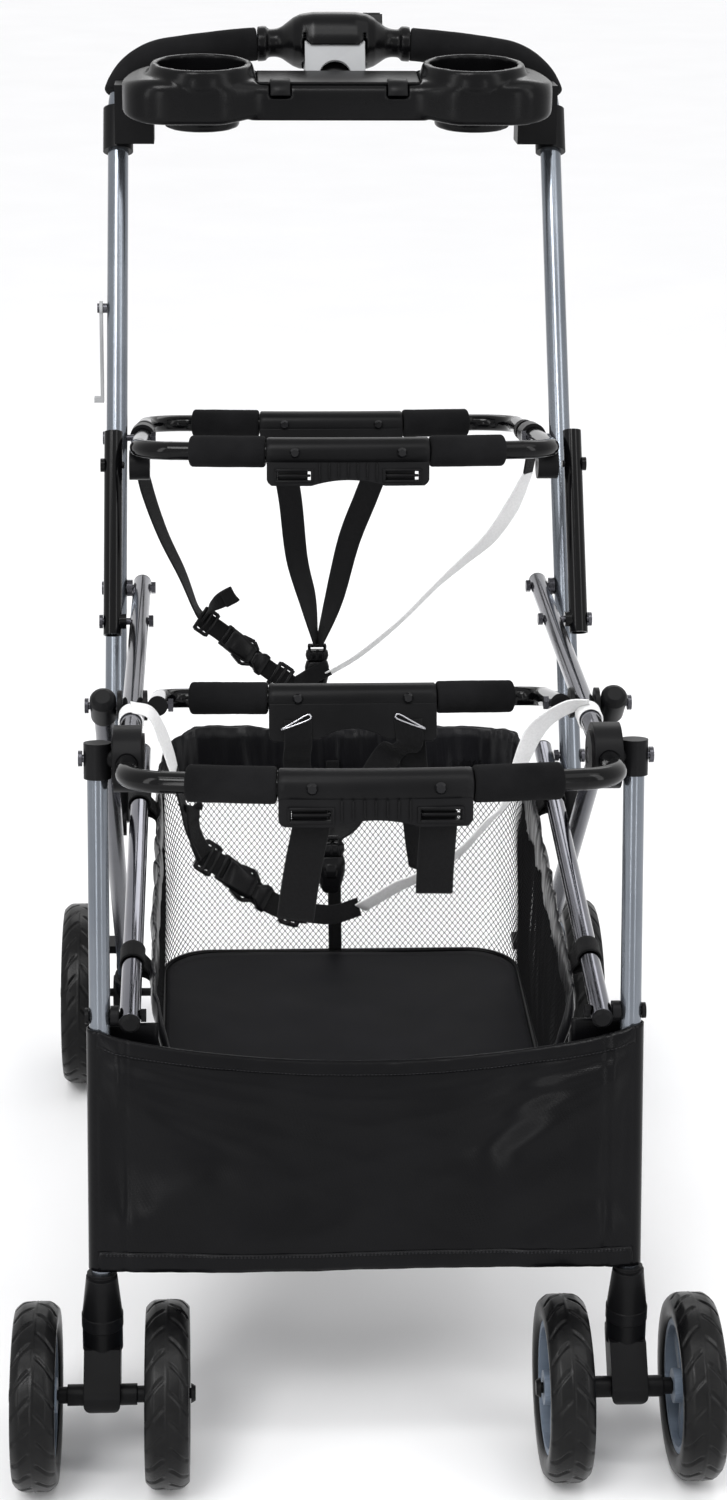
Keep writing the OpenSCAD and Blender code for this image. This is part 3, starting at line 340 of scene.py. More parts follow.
M = {
    "satin": metal_paint("satin_silver_tube", srgb(98, 103, 110), srgb(122, 127, 134), 0.85, 0.2, wear=0.12),
    "bright": metal_paint("bright_grey_tube", srgb(98, 99, 105), srgb(126, 126, 133), 1.0, 0.13, wear=0.2),
    "dull": metal_paint("grey_leg_tube", srgb(76, 77, 83), srgb(100, 101, 107), 0.9, 0.24, wear=0.2),
    "gloss": metal_paint("gloss_black_tube", srgb(4, 4, 5), srgb(9, 9, 10), 0.0, 0.09, wear=0.15, spec=0.15),
    "dark": metal_paint("black_screw", srgb(16, 16, 17), srgb(34, 34, 36), 0.6, 0.13, edge=0.0003, spec=0.45),
    "steel": metal_paint("dark_steel", srgb(52, 52, 56), srgb(92, 92, 97), 0.95, 0.26, edge=0.0005),
    "plastic": moulded("black_moulding", srgb(8, 8, 9), srgb(17, 17, 18), 0.36),
    "smooth": moulded("smooth_black_moulding", srgb(6, 6, 7), srgb(13, 13, 14), 0.23, 500.0, 0.04, spec=0.11),
    "grey": moulded("grey_moulding", srgb(116, 117, 119), srgb(146, 147, 148), 0.4),
    "hub": moulded("hub_moulding", srgb(74, 84, 96), srgb(110, 119, 131), 0.42),
    "foam": foam_material("foam_sleeve"),
    "rubber": rubber("tyre_rubber"),
    "nylon": woven("apron_nylon", srgb(4, 4, 5), srgb(12, 12, 14), 260.0, 0.29, 0.1, 0.0, spec=0.1),
    "casing": woven("casing_nylon", srgb(7, 7, 8), srgb(24, 24, 27), 260.0, 0.3, 0.1, 0.02, spec=0.26),
    "floor": woven("basket_floor_cloth", srgb(11, 11, 13), srgb(24, 24, 27), 300.0, 0.62, 0.16, 0.04),
    "net": woven("net_strand", srgb(9, 9, 10), srgb(20, 20, 21), 700.0, 0.6, 0.1, 0.02),
    "web": woven("webbing_black", srgb(7, 7, 8), srgb(24, 24, 25), 150.0, 0.6, 0.6, 0.04, uv=True),
    "white": woven("webbing_white", srgb(222, 222, 222), srgb(246, 246, 246), 150.0, 0.62, 0.5, 0.1, uv=True),
    "wire": metal_paint("bent_wire", srgb(150, 150, 154), srgb(186, 186, 190), 1.0, 0.2, wear=0.4),
    "thread": woven("stitch_thread", srgb(24, 24, 26), srgb(46, 46, 49), 900.0, 0.6, 0.1, 0.05),
}


def dress(me, material, smooth):
    me.materials.clear()
    me.materials.append(M[material])
    me.polygons.foreach_set("use_smooth", [smooth] * len(me.polygons))


def paint(material, *names):
    for name in names:
        data = nodes[name].data
        data.materials.clear()
        data.materials.append(M[material])
        data.polygons.foreach_set("material_index", [0] * len(data.polygons))


WHEELS = ("left_outer", "left_inner", "right_inner", "right_outer")
paint("satin", "handle_tube_left", "handle_tube_right", "handle_bow", "front_leg_left", "front_leg_right")
paint("bright", "upper_rail_left", "upper_rail_right", "lower_rail_left", "lower_rail_right")
paint("dull", "rear_legs")
paint("gloss", "front_ring_front_bar", "front_ring_rear_bar", "rear_ring_front_bar", "rear_ring_rear_bar",
      "struts")
paint("steel", "frame_bolts", "handle_bolts", "latch_rods")
paint("dark", "front_ring_screws", "rear_ring_screws")
paint("plastic", "rail_plugs", "lower_rail_plugs", "front_knuckles", "front_ring_saddles",
      "rear_ring_saddles", "rear_ring_lugs", "handle_feet", "tray_clamps", "front_leg_caps",
      "caster_collars", "rear_axle_set", "brake_pedal_left", "brake_pedal_right", "caster_left",
      "caster_right")
paint("smooth", "handle_housing", "parent_tray", "tray_lid", "lock_button")
paint("grey", "fold_trigger", "storage_latch")
paint("hub", *["front_hub_" + w for w in WHEELS], "rear_hub_left", "rear_hub_right")


def new_object(name, points, faces, scale=MM):
    """New object in the scene from points in millimetres."""
    me = bpy.data.meshes.new(name)
    me.from_pydata([Vector(p) * scale for p in points], [], faces)
    ob = bpy.data.objects.new(name, me)
    scene.collection.objects.link(ob)
    return ob


def piece(name, points, faces, material, body, uvs=None, smooth=True):
    """New visible piece from millimetre points, riding on a body."""
    ob = new_object(name, points, faces)
    if uvs:
        layer = ob.data.uv_layers.new(name="UVMap")
        for loop in ob.data.loops:
            layer.data[loop.index].uv = uvs[loop.vertex_index]
    dress(ob.data, material, smooth)
    ob.data.update()
    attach(ob, body)
    return ob


def outward(ob):
    """Makes the faces of a closed mesh look outwards."""
    bm = bmesh.new()
    bm.from_mesh(ob.data)
    bmesh.ops.recalc_face_normals(bm, faces=bm.faces)
    bm.to_mesh(ob.data)
    bm.free()
    return ob


def thicken(ob, metres, offset=0.0):
    mod = ob.modifiers.new("wall", "SOLIDIFY")
    mod.thickness = metres
    mod.offset = offset


class Shape:
    """Vertices and faces of one piece, gathered part by part."""

    def __init__(self):
        self.verts, self.faces, self.uvs = [], [], []

    def loft(self, rings, closed=True, caps=True, uv=None, wrap=False):
        """Skin over rings of equal count; closed rings go all the way round."""
        base, count, rows = len(self.verts), len(rings[0]), len(rings)
        for i, ring in enumerate(rings):
            for j, p in enumerate(ring):
                self.verts.append(Vector(p))
                self.uvs.append(uv[i][j] if uv else (j / count, i / rows))
        for i in range(rows if wrap else rows - 1):
            a, b = base + i * count, base + ((i + 1) % rows) * count
            for j in range(count if closed else count - 1):
                k = (j + 1) % count
                self.faces.append((a + j, a + k, b + k, b + j))
        if caps and closed and not wrap:
            self.faces.append(tuple(base + j for j in reversed(range(count))))
            self.faces.append(tuple(base + (rows - 1) * count + j for j in range(count)))
        return self

    def make(self, name, material, body, slot):
        return outward(piece(name, self.verts, self.faces, material, body, self.uvs))


def curve_through(points, steps):
    """Smooth curve through points, as an even list of vectors."""
    pts = [Vector(p) for p in points]
    ext = [2 * pts[0] - pts[1], *pts, 2 * pts[-1] - pts[-2]]
    out = []
    for i in range(1, len(ext) - 2):
        p0, p1, p2, p3 = ext[i - 1:i + 3]
        for s in range(steps):
            t = s / steps
            out.append(0.5 * (2 * p1 + (p2 - p0) * t + (2 * p0 - 5 * p1 + 4 * p2 - p3) * t * t
                              + (3 * p1 - p0 - 3 * p2 + p3) * t ** 3))
    out.append(pts[-1])
    return out


def frames(path, sides):
    """Side and normal directions along a path, from wished side directions."""
    out = []
    for i, wish in enumerate(sides):
        t = (path[min(i + 1, len(path) - 1)] - path[max(i - 1, 0)]).normalized()
        s = (wish - t * wish.dot(t)).normalized()
        out.append((s, t.cross(s)))
    return out


def flat_profile(w, t):
    """Cross section of webbing with rounded edges and a slight rib near each edge."""
    h, r = w / 2, t / 2
    left = [(-h, 0), (-h + r * 0.4, r * 0.8), (-h + r * 1.6, r * 1.12), (-h * 0.45, r)]
    top = [*left, (0, r * 0.94), *[(-u, v) for u, v in reversed(left)]]
    return top + [(u, -v) for u, v in reversed(top[1:-1])]


def webbing(shape, points, side, width, thick=1.7, steps=8):
    """Adds a webbing strap along points; side is the way its width lies, or a list of such ways."""
    path = curve_through(points, steps)
    last = len(path) - 1
    keys = [Vector(k) for k in side] if isinstance(side, list) else [Vector(side)] * 2
    sides = []
    for i in range(last + 1):
        f = i / last * (len(keys) - 1)
        k = min(int(f), len(keys) - 2)
        sides.append(keys[k].lerp(keys[k + 1], f - k))
    profile = flat_profile(width, thick)
    rings, uv, run = [], [], 0.0
    for i, (s, k) in enumerate(frames(path, sides)):
        run += (path[i] - path[max(i - 1, 0)]).length
        rings.append([path[i] + s * u + k * v for u, v in profile])
        uv.append([((u / width + 0.5) * width * 0.01, run * 0.01) for u, v in profile])
    shape.loft(rings, uv=uv)


def rounded_ring(centre, ax, ay, hx, hy, r):
    """Points of a rounded rectangle in the plane of ax and ay."""
    x, y = hx - r, hy - r
    out = []
    for cx, cy, first in ((x, y, 0), (-x, y, 90), (-x, -y, 180), (x, -y, 270)):
        out += arc(centre + ax * cx + ay * cy, ax, ay, r, sweep(first, 90, 5))
    return out


def bar(shape, a, b, up, w, h, r=None):
    """Adds a rounded bar from a to b with its ends eased."""
    a, b = Vector(a), Vector(b)
    t = (b - a).normalized()
    s = t.cross(Vector(up)).normalized()
    k = s.cross(t)
    r = min(w, h) * 0.3 if r is None else r
    e = min(1.0, r)
    far = (b - a).length
    rings = []
    for d, inset in ((0, e), (e * 0.3, e * 0.3), (e, 0), (far - e, 0), (far - e * 0.3, e * 0.3), (far, e)):
        rings.append(rounded_ring(a + t * d, s, k, w / 2 - inset, h / 2 - inset, max(r - inset, 0.15)))
    shape.loft(rings)


def body_loft(shape, start, axis, side, stations):
    """Adds a moulded form: stations are (distance, half width, half thickness, corner)."""
    axis, side = Vector(axis).normalized(), Vector(side).normalized()
    k = axis.cross(side)
    shape.loft([rounded_ring(Vector(start) + axis * d, side, k, w, h, min(c, w * 0.98, h * 0.98))
                for d, w, h, c in stations])


def rods(shape, at, along, side):
    """Maker of bars laid by their distances along and across a buckle."""
    along, side = along.normalized(), side.normalized()
    up = along.cross(side)

    def rod(a, b, w, h):
        bar(shape, at + along * a[0] + side * a[1], at + along * b[0] + side * b[1], up, w, h)
    return rod


def slider(shape, at, along, side, w, l, t):
    """Adds a three bar strap slider."""
    rod = rods(shape, at, along, side)
    for d in (-l / 2, 0, l / 2):
        rod((d, -w / 2), (d, w / 2), t, t)
    for x in (1 - w / 2, w / 2 - 1):
        rod((-l / 2, x), (l / 2, x), t, t)


def side_release(shape, at, along, side, w):
    """Adds a side release buckle: socket body, two squeeze prongs, tongue and strap bars."""
    rod = rods(shape, at, along, side)
    along = along.normalized()
    h = w / 2
    body_loft(shape, at - along * 24, along, side,
              [(0, h - 1.5, 2.2, 2), (1, h, 3.2, 3), (9, h, 4.6, 3.4), (24, h - 1, 5.0, 3.6),
               (30, h - 2.4, 4.6, 3.2), (31, h - 3.6, 3.2, 2)])
    body_loft(shape, at + along * 6, along, side,
              [(0, h - 5, 3.0, 2), (6, h - 4, 3.4, 2.4), (10, h - 1, 3.2, 2.4), (17, h, 2.8, 2.2),
               (18, h - 1, 2, 1.6)])
    for s in (-1, 1):
        rod((-12, s * (h - 1)), (1, s * (h + 1.8)), 3.6, 5.0)
        rod((1, s * (h + 1.8)), (9, s * (h - 3)), 3.4, 4.6)
        rod((17, s * (h - 1.6)), (21, s * (h - 1.6)), 3.2, 4)
        rod((-28, s * (h - 1.6)), (-23, s * (h - 1.6)), 3.2, 4)
    for d in (21, -28):
        rod((d, -h), (d, h), 3.2, 4)


def stitch(shape, a, b, up):
    """Adds one thread stitch lying on a surface."""
    size = 0.4
    p, q = a.lerp(b, 0.15), a.lerp(b, 0.8)
    m = (p + q) / 2 + up * size * 0.8
    side = (b - a).cross(up).normalized()
    marks = ((p, size * 0.35), (m, size), (q, size * 0.35))
    shape.loft([arc(c, side, up, r, around(3)) for c, r in marks])


def sleeve(shape, at, radius, bore, first, last, steps, sides):
    """Adds a foam sleeve along a bar, its rims rounded and its skin a little uneven."""
    rim = 2.6
    length = abs(last - first)
    marks = [(rim * (1 - math.cos(a)), radius - rim * (1 - math.sin(a))) for a in sweep(0, 90, 6)]
    middle = [(rim + (length - 2 * rim) * i / steps, radius) for i in range(1, steps)]
    tail = [(length - d, r) for d, r in reversed(marks)]
    rings = []
    for d, r in marks + middle + tail:
        c, side, up = at(first + (last - first) * d / length)
        inner = min(1.0, min(d, length - d) / 4.0)
        ring = []
        for p in arc(c, side, up, r, around(sides)):
            skin = 0.22 * noise.noise(p * 0.06) + 0.1 * noise.noise(p * 0.25)
            ring.append(p + (p - c).normalized() * inner * skin)
        rings.append(ring)
    for run in (last, first):
        rings.append(arc(*at(run), bore, around(sides)))
    shape.loft(rings, wrap=True)


def bow_run(x):
    """Run along a bowed bar from its middle to a place across the frame."""
    return math.asin(x / BOW_R) * BOW_R


def bar_path(origin, tilt):
    """Centre line of a bowed bar by its run from the middle, with its cross directions."""
    place = leaning(origin, tilt)
    up = way(place, 0, 0, 1)

    def spot(a):
        return place(BOW_R * math.sin(a), BOW_R * (1 - math.cos(a)), 0)

    def at(run):
        a = run / BOW_R
        t = way(place, math.cos(a + 5e-4), math.sin(a + 5e-4), 0)
        return spot(a), t.cross(up).normalized(), up
    return at


# Bars of the seat rings: ring, bar, body, its middle, its tilt, and whether its saddle faces the front
BARS = (("front_ring", "front", "rail_frame", FRONT_RING_FRONT, RING_TILT, True),
        ("front_ring", "rear", "rail_frame", FRONT_RING_REAR, BACK_TILT, False),
        ("rear_ring", "front", "rear_ring", REAR_RING_FRONT, RING_TILT, True),
        ("rear_ring", "rear", "rear_ring", REAR_RING_REAR, RING_TILT, False))
FOAM_GAP = 0.15


def foam_piece(name, shape, body, node):
    ob = shape.make(name, "foam", body, "foam")
    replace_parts(ob, node)


for ring, _, body, origin, tilt, facing in BARS:
    for number, s in ((1, -1), (2, 1)):
        shape = Shape()
        sleeve(shape, bar_path(origin, tilt), GRIP_R, TUBE_R + FOAM_GAP, s * bow_run(SADDLE_W / 2 + 1),
               s * bow_run(GRIP_END), 26, 40)
        foam_piece(f"{ring}_sleeve_{number if facing else number + 2}", shape, body, ring + "_grips")

# Saddles: the cover's outside and bore, and the heights of flange and strap slots below the bar
COVER_R, COVER_BORE = TUBE_R + 4.3, TUBE_R + 0.2
FLANGE_TOP, FLANGE_LOW, BACK_FLANGE_LOW = -4.0, -28.5, -36.0
SLOT_TOP, SLOT_LOW, SLOT_HALF = -16.0, -23.5, 14.0


def saddle_cover(shape, at, run):
    """Adds the half tube of a saddle that lies over the bar, open at the back and below."""
    turn = sweep(-62, 282, 31)
    ends = ((1, 1.6), (0.994, 0.6), (0.98, 0))
    middle = [(i / 12, 0) for i in range(-11, 12)]
    rings = []
    for t, inset in (*[(-t, inset) for t, inset in ends], *middle, *reversed(ends)):
        spot = at(run * t)
        rings.append(arc(*spot, COVER_R - inset, turn) + arc(*spot, COVER_BORE, turn[::-1]))
    shape.loft(rings)


def saddle_flange(at, low, arch, reach, slots):
    """Sheet of the flange below the cover, as points and faces, with its strap slots left open."""
    half, corner, arch_half = SADDLE_W / 2 - 0.6, 4.0, 31.0
    cuts = [half, half - 1.2, half - corner]
    for s_x in slots:
        cuts += [s_x - SLOT_HALF - 1, s_x - SLOT_HALF, s_x, s_x + SLOT_HALF, s_x + SLOT_HALF + 1]
    xs = sorted({round(x, 2) for c in cuts for x in (c, -c)} | {float(i) for i in range(-28, 29, 4)})
    verts, faces = [], []
    for x in xs:
        c, side, up = at(bow_run(x))
        rise = arch * max(0.0, 1 - (x / arch_half) ** 2)
        rise += 5.0 * max(0.0, (abs(x) - half + corner) / corner) ** 2
        for v in (FLANGE_TOP, SLOT_TOP, SLOT_LOW, low + rise):
            verts.append(c + side * reach + up * max(v, low + rise))
    for i in range(len(xs) - 1):
        mid = abs(xs[i] + xs[i + 1]) / 2
        for r in range(3):
            if r == 1 and any(abs(mid - s_x) < SLOT_HALF for s_x in slots):
                continue
            q = i * 4 + r
            faces.append((q, q + 1, q + 5, q + 4))
    return verts, faces


def slot_frame(shape, at, s):
    """Adds the raised frame round one strap slot, its middle bar and the strap end folded behind it."""
    top, low, middle = SLOT_TOP + 1.1, SLOT_LOW - 1.1, (SLOT_TOP + SLOT_LOW) / 2
    for edge in (-15.6, 15.6):
        c, side, up = at(s * SLOT_X + edge)
        bar(shape, c + side * 9.4 + up * (top + 1), c + side * 9.4 + up * (low - 1), side, 2.0, 2.4)
    c, side, up = at(s * SLOT_X)
    # each bar's reach, height, ends to the left and right, width and thickness
    for reach, v, left, right, w, h in ((9.5, top, 16, 16, 2.2, 2.4), (9.5, low, 16, 16, 2.2, 2.4),
                                        (7.4, middle, 14, 14, 2.4, 2.6), (3.6, middle, 14, 11.5, 9.0, 1.6)):
        p = c + side * reach + up * v
        bar(shape, p - Vector((left, 0, 0)), p + Vector((right, 0, 0)), side, w, h)


def ring_saddle(name, node, body, at, facing):
    """Moulded saddle of one bar: facing ones have a stepped flange with slots and ribs."""
    shape = Shape()
    saddle_cover(shape, at, bow_run(SADDLE_W / 2))
    if facing:
        for x in range(-24, 25, 8):
            c, side, up = at(x)
            c += side * 9.6
            bar(shape, c - up * 9, c - up * (24.5 - 0.006 * (24 * 24 - x * x)), side, 1.7, 2.4)
        for s in (-1, 1):
            slot_frame(shape, at, s)
        verts, faces = saddle_flange(at, FLANGE_LOW, 5.0, 9.0, (SLOT_X,))
    else:
        verts, faces = saddle_flange(at, BACK_FLANGE_LOW, 11.0, 12.2, ())
    cover = shape.make(name + "_cover", "plastic", body, "black_plastic")
    plate = piece(name + "_flange", verts, faces, "plastic", body, smooth=False)
    thicken(plate, 0.0034, -1.0)
    mod = plate.modifiers.new("eased edges", "BEVEL")
    mod.width = 0.0007
    mod.segments = 2
    mod.limit_method = "ANGLE"
    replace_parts(cover, node)
    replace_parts(plate, node)


for ring, word, body, origin, tilt, facing in BARS:
    ring_saddle(f"{ring}_{word}_saddle", ring + "_saddles", body, bar_path(origin, tilt), facing)

# Handle foam: from the housing collars round both corners of the bow
HANDLE_TOP, HANDLE_BEND, HANDLE_BOW, HANDLE_FOAM_R = 524.0, 54.0, 900.0, 15.5
COLLAR_END, FOAM_TURN = 72.0, math.radians(76)
BOW_TURN = math.asin((TRACK - HANDLE_BEND) / (HANDLE_BOW - HANDLE_BEND))
BOW_START = HANDLE_TOP - HANDLE_BOW + (HANDLE_BOW - HANDLE_BEND) * math.cos(BOW_TURN)


def handle_line(side):
    """Centre line of the bow from the collar to past its corner, and the foam's length on it."""
    start = math.asin(COLLAR_END / HANDLE_BOW)
    crown = HANDLE_BOW * (BOW_TURN - start)

    def at(run):
        if run <= crown:
            a = start + run / HANDLE_BOW
            x, z = HANDLE_BOW * math.sin(a), HANDLE_TOP - HANDLE_BOW + HANDLE_BOW * math.cos(a)
        else:
            a = BOW_TURN + (run - crown) / HANDLE_BEND
            x = TRACK - HANDLE_BEND + HANDLE_BEND * math.sin(a)
            z = BOW_START + HANDLE_BEND * math.cos(a)
        outside = way(in_handle, side * math.sin(a), 0, math.cos(a))
        return in_handle(side * x, 0, z), outside, way(in_handle, 0, 1, 0)
    return at, crown + HANDLE_BEND * (FOAM_TURN - BOW_TURN)


for side, word in ((-1, "left"), (1, "right")):
    at, length = handle_line(side)
    shape = Shape()
    sleeve(shape, at, HANDLE_FOAM_R, HANDLE_TUBE_R + FOAM_GAP, 0.0, length, 60, 44)
    foam_piece(f"handle_foam_{word}", shape, "handle", "handle_foam")


def bare(name, shape):
    """Object from a shape that a moulding uses up."""
    return outward(new_object(name, shape.verts, shape.faces))


def moulding(name, node, body, shape, cuts, voxel, rounds):
    """One moulded piece: forms joined, hollows cut, and every edge rounded as a tool leaves it."""
    ob = bare(name, shape)
    cutters = [bare(f"{name}_hollow_{i}", cut) for i, cut in enumerate(cuts)]

    def skin(label):
        mod = ob.modifiers.new(label, "REMESH")
        mod.mode = "VOXEL"
        mod.voxel_size = voxel

    skin("joined forms")
    for cutter in cutters:
        mod = ob.modifiers.new("hollow", "BOOLEAN")
        mod.operation = "DIFFERENCE"
        mod.solver = "EXACT"
        mod.object = cutter
    skin("even skin")
    mod = ob.modifiers.new("rounded edges", "SMOOTH")
    mod.factor = 0.5
    mod.iterations = rounds
    ready = ob.evaluated_get(bpy.context.evaluated_depsgraph_get())
    done = bpy.data.meshes.new_from_object(ready)
    ob.modifiers.clear()
    ob.data = done
    for cutter in cutters:
        bpy.data.objects.remove(cutter)
    dress(done, "smooth", True)
    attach(ob, body)
    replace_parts(ob, node)


def block(shape, place, low, high):
    """Adds a box between two corners."""
    plan = ((low[0], low[1]), (high[0], low[1]), (high[0], high[1]), (low[0], high[1]))
    shape.loft([[place(x, y, z) for x, y in plan] for z in (low[2], high[2])])


def revolved(shape, place, x, stations):
    """Adds a turned form about an upright line at x; stations are (height, radius)."""
    turn = around(72)
    shape.loft([[place(x + r * math.cos(a), r * math.sin(a), z) for a in turn] for z, r in stations])


# Parent tray: a hollow moulding with two cup holders, a lidded bin and a rounded front
TRAY_HALF, TRAY_END, CUP_GAP, CUP_R = 196.0, 148.0, 124.0, 40.0
TRAY_TOP, TRAY_FRONT, TRAY_BACK = 31.0, 36.0, 34.0
FRONT_R, BACK_R, LOW_R = 13.0, 9.0, 5.0
BIN_HALF, LID_SEAT, LID_GAP = 70.0, 74.4, 1.0
TAB_X, TAB_HALF, TAB_ROOM, HINGE_Y, HINGE_Z = 53.0, 9.0, 15.4, -34.0, 33.0
# How far the tray swells at its cups, to the front, the back, the top and below
SWELL_FRONT, SWELL_BACK, SWELL_TOP, SWELL_LOW = 12.0, 11.0, 4.5, 5.5
# Turned forms of a cup holder as (height, radius): its well, its rim and its hollow
CUP_WELL = ((-14.5, 33), (-13.5, 34.5), (30, 37))
CUP_RIM = ((20, 45), (29, 49.4), (36, 48.5), (42, 46.5), (44, 45))
CUP_HOLLOW = ((-12, 30), (3.4, 31.5), (4, 39.4), (43, CUP_R), (52, CUP_R + 1))
in_tray = leaning(Vector((0, 313.6, 962.2)), math.radians(-4))


def tray_round(x, y, z, r, a):
    """Place at an angle of a circle about a line across the tray."""
    return in_tray(x, y + r * math.cos(a), z + r * math.sin(a))


def tray_ring(x):
    """Section of the tray across x: deeper and taller at the cups, rounded off at its ends."""
    cups = ease(64, 112, abs(x))
    end = max(0.0, (abs(x) - TRAY_END) / (TRAY_HALF - TRAY_END))
    plan = max(0.02, 1 - end ** 2.6) ** 0.385
    front, back = -(TRAY_FRONT + SWELL_FRONT * cups) * plan, (TRAY_BACK + SWELL_BACK * cups) * plan
    top, low = TRAY_TOP + SWELL_TOP * cups - 9 * end ** 3, -SWELL_LOW * cups + 5 * end ** 3
    ring = []
    for y, z, r, first in ((back, top, BACK_R, 0), (front, top, FRONT_R, 90), (front, low, LOW_R, 180),
                           (back, low, LOW_R, 270)):
        r = min(r, abs(y) * 0.9)
        y -= math.copysign(r, y)
        z -= r if first < 180 else -r
        ring += [tray_round(x, y, z, r, a) for a in sweep(first, 90, 8)]
    return ring


def make_tray():
    body, cups, bin_hole, lid_seat, tab_room, lid = [Shape() for _ in range(6)]
    body.loft([tray_ring(TRAY_HALF * math.sin(math.pi / 2 * i / 40)) for i in range(-40, 41)])
    block(body, in_tray, (-80, -36, -3), (80, -30, 4))
    for x in (-CUP_GAP, CUP_GAP):
        revolved(body, in_tray, x, CUP_WELL)
        revolved(body, in_tray, x, CUP_RIM)
        revolved(cups, in_tray, x, CUP_HOLLOW)
    block(bin_hole, in_tray, (-BIN_HALF, -24, 3), (BIN_HALF, 24, 50))
    block(lid_seat, in_tray, (-LID_SEAT, -29.8, TRAY_TOP - 2.6), (LID_SEAT, 28.4, 60))
    half = LID_SEAT - LID_GAP
    bar(lid, in_tray(-half, -0.8, TRAY_TOP - 1), in_tray(half, -0.8, TRAY_TOP - 1), way(in_tray, 0, 0, 1),
        56, 2.6, 0.8)
    tab = ((-9, 12.6), (9, 12.6), (9, 14.4), (8.4, 15), (-8.4, 15), (-9, 14.4))
    for x in (-TAB_X, TAB_X):
        tab_room.loft([[tray_round(x + e, HINGE_Y, HINGE_Z, TAB_ROOM, a) for a in around(40)]
                       for e in (-TAB_HALF - 0.6, TAB_HALF + 0.6)])
        lid.loft([[tray_round(x + e, FRONT_R - TRAY_FRONT, TRAY_TOP - FRONT_R, r, a) for e, r in tab]
                  for a in sweep(78, 92, 15)])
    moulding("tray_moulding", "parent_tray", "handle", body, (cups, bin_hole, lid_seat, tab_room), 0.0014, 9)
    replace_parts(lid.make("tray_lid_moulding", "plastic", "tray_lid", "black_plastic"), "tray_lid")


make_tray()

# Central housing of the handle: half lengths, then its reach up, down, to the front and to the back
POD = ((0, 24.5, 26, 34, 24), (20, 24.5, 26, 34, 24), (31, 23.6, 25, 31, 23), (38, 21.5, 22.5, 26.5, 21),
       (44, 18, 18.5, 20, 17.5), (49, 14.6, 14.8, 15, 14.6), (54, 13.2, 13.2, 13.2, 13.2),
       (60, 13, 13, 13, 13), (62.4, 13.6, 13.6, 13.6, 13.6), (63.4, 16.4, 16.4, 16.4, 16.4),
       (71.4, 16.4, 16.4, 16.4, 16.4), (72, 15.6, 15.6, 15.6, 15.6))


def in_hub(x, y, z):
    """Place in the handle's own frame, with heights from the top of its bow."""
    return in_handle(x, y, HANDLE_TOP + z)


def pod_ring(side, half, up, down, front, back):
    """Section of the housing, boxy at its middle and round at its necks."""
    neck = ease(30, 50, half)
    drop = half * half / 2 / HANDLE_BOW
    ring = []
    for a in around(56):
        c, s = math.cos(a), math.sin(a)
        boxy = (0.55 if c < 0 and s < 0 else 0.85) * (1 - neck) + neck
        y = math.copysign(abs(c) ** boxy, c) * (back if c > 0 else front)
        z = math.copysign(abs(s) ** boxy, s) * (up if s > 0 else down)
        ring.append(in_hub(side * half, y, z - drop))
    return ring


def make_housing():
    body, plate, stems, button = [Shape() for _ in range(4)]
    body.loft([pod_ring(-1, *q) for q in reversed(POD)] + [pod_ring(1, *q) for q in POD[1:]])
    block(body, in_hub, (-15, -19, -46), (15, -11, -10))
    # room for the trigger's plate and stems and for the button's travel
    block(plate, in_hub, (-30, -31, -60), (30, -24, 1.5))
    for x in (-29.4, 15.6):
        block(stems, in_hub, (x, -11.5, -60), (x + 13.8, 11.5, -8))
    block(button, in_hub, (15.2, -9.2, 12.2), (48.4, 9.2, 40))
    moulding("housing_moulding", "handle_housing", "handle", body, (plate, stems, button), 0.0011, 7)


make_housing()


# Wheels: half the way between a caster's two, the rear ones' way out from the legs, and tyre widths
CASTER_HALF, REAR_OUT, FRONT_TYRE_W, REAR_TYRE_W = 50.0, 45.0, 33.5, 34.5
# Tread: seam rib, band of the grooves as shares of the half width, the grooves, and the lips beside them
SEAM_RIB, BAND_IN, BAND_OUT = 0.35, 0.1, 0.97
GROOVE_DEPTH, GROOVE_HALF, LIP, LIP_AT = 1.25, 2.1, 0.3, 2.9


def tread(u, s, lugs, r):
    """Height of the tread; u counts grooves round the tyre and s runs across it from -1 to 1."""
    across = abs(s)
    if across < 0.05:
        return SEAM_RIB
    if not BAND_IN < across < BAND_OUT:
        return 0.0
    u = (u + (0.5 if s > 0 else 0) - 0.42 * (across - BAND_IN) ** 1.3 * lugs / 9) % 1.0
    near = min(u, 1 - u) / lugs * 2 * math.pi * r
    depth = GROOVE_DEPTH * min(1.0, (across - BAND_IN) / 0.12) * min(1.0, (BAND_OUT - across) / 0.1)
    return LIP * max(0.0, 1 - abs(near - LIP_AT)) - depth * max(0.0, 1 - (near / GROOVE_HALF) ** 2)


def tyre(end, word, axle, x, r, w, bead, lugs, turn):
    """Tyre with a seam rib and curved tread grooves on both shoulders."""
    wall = [(0.5, r - 11), (0.485, r - 16), (0.44, bead + 1.2), (0.40, bead)]
    profile = []
    for i in range(33):
        s = -1 + 2 * i / 32
        crown = r - 0.9 * s * s - 7.5 * max(0.0, abs(s) - 0.55) ** 1.6 * 2.2
        profile.append((s * w * 0.5 * (1 - 0.04 * max(0.0, abs(s) - 0.8)), crown, s))
    rings = []
    for a in around(360):
        u = (a + turn) / (2 * math.pi) * lugs
        ring = [(-f * w, high) for f, high in reversed(wall)]
        ring += [(across, high + tread(u, s, lugs, r)) for across, high, s in profile]
        ring += [(f * w, high) for f, high in wall]
        y, z = math.cos(a), math.sin(a)
        rings.append([axle + Vector((x + across, high * y, high * z)) for across, high in ring])
    shape = Shape().loft(rings, wrap=True)
    ob = shape.make(f"tread_tyre_{end}_{word}", "rubber", f"{end}_wheel_{word}", "tyre")
    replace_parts(ob, f"{end}_tyre_{word}")


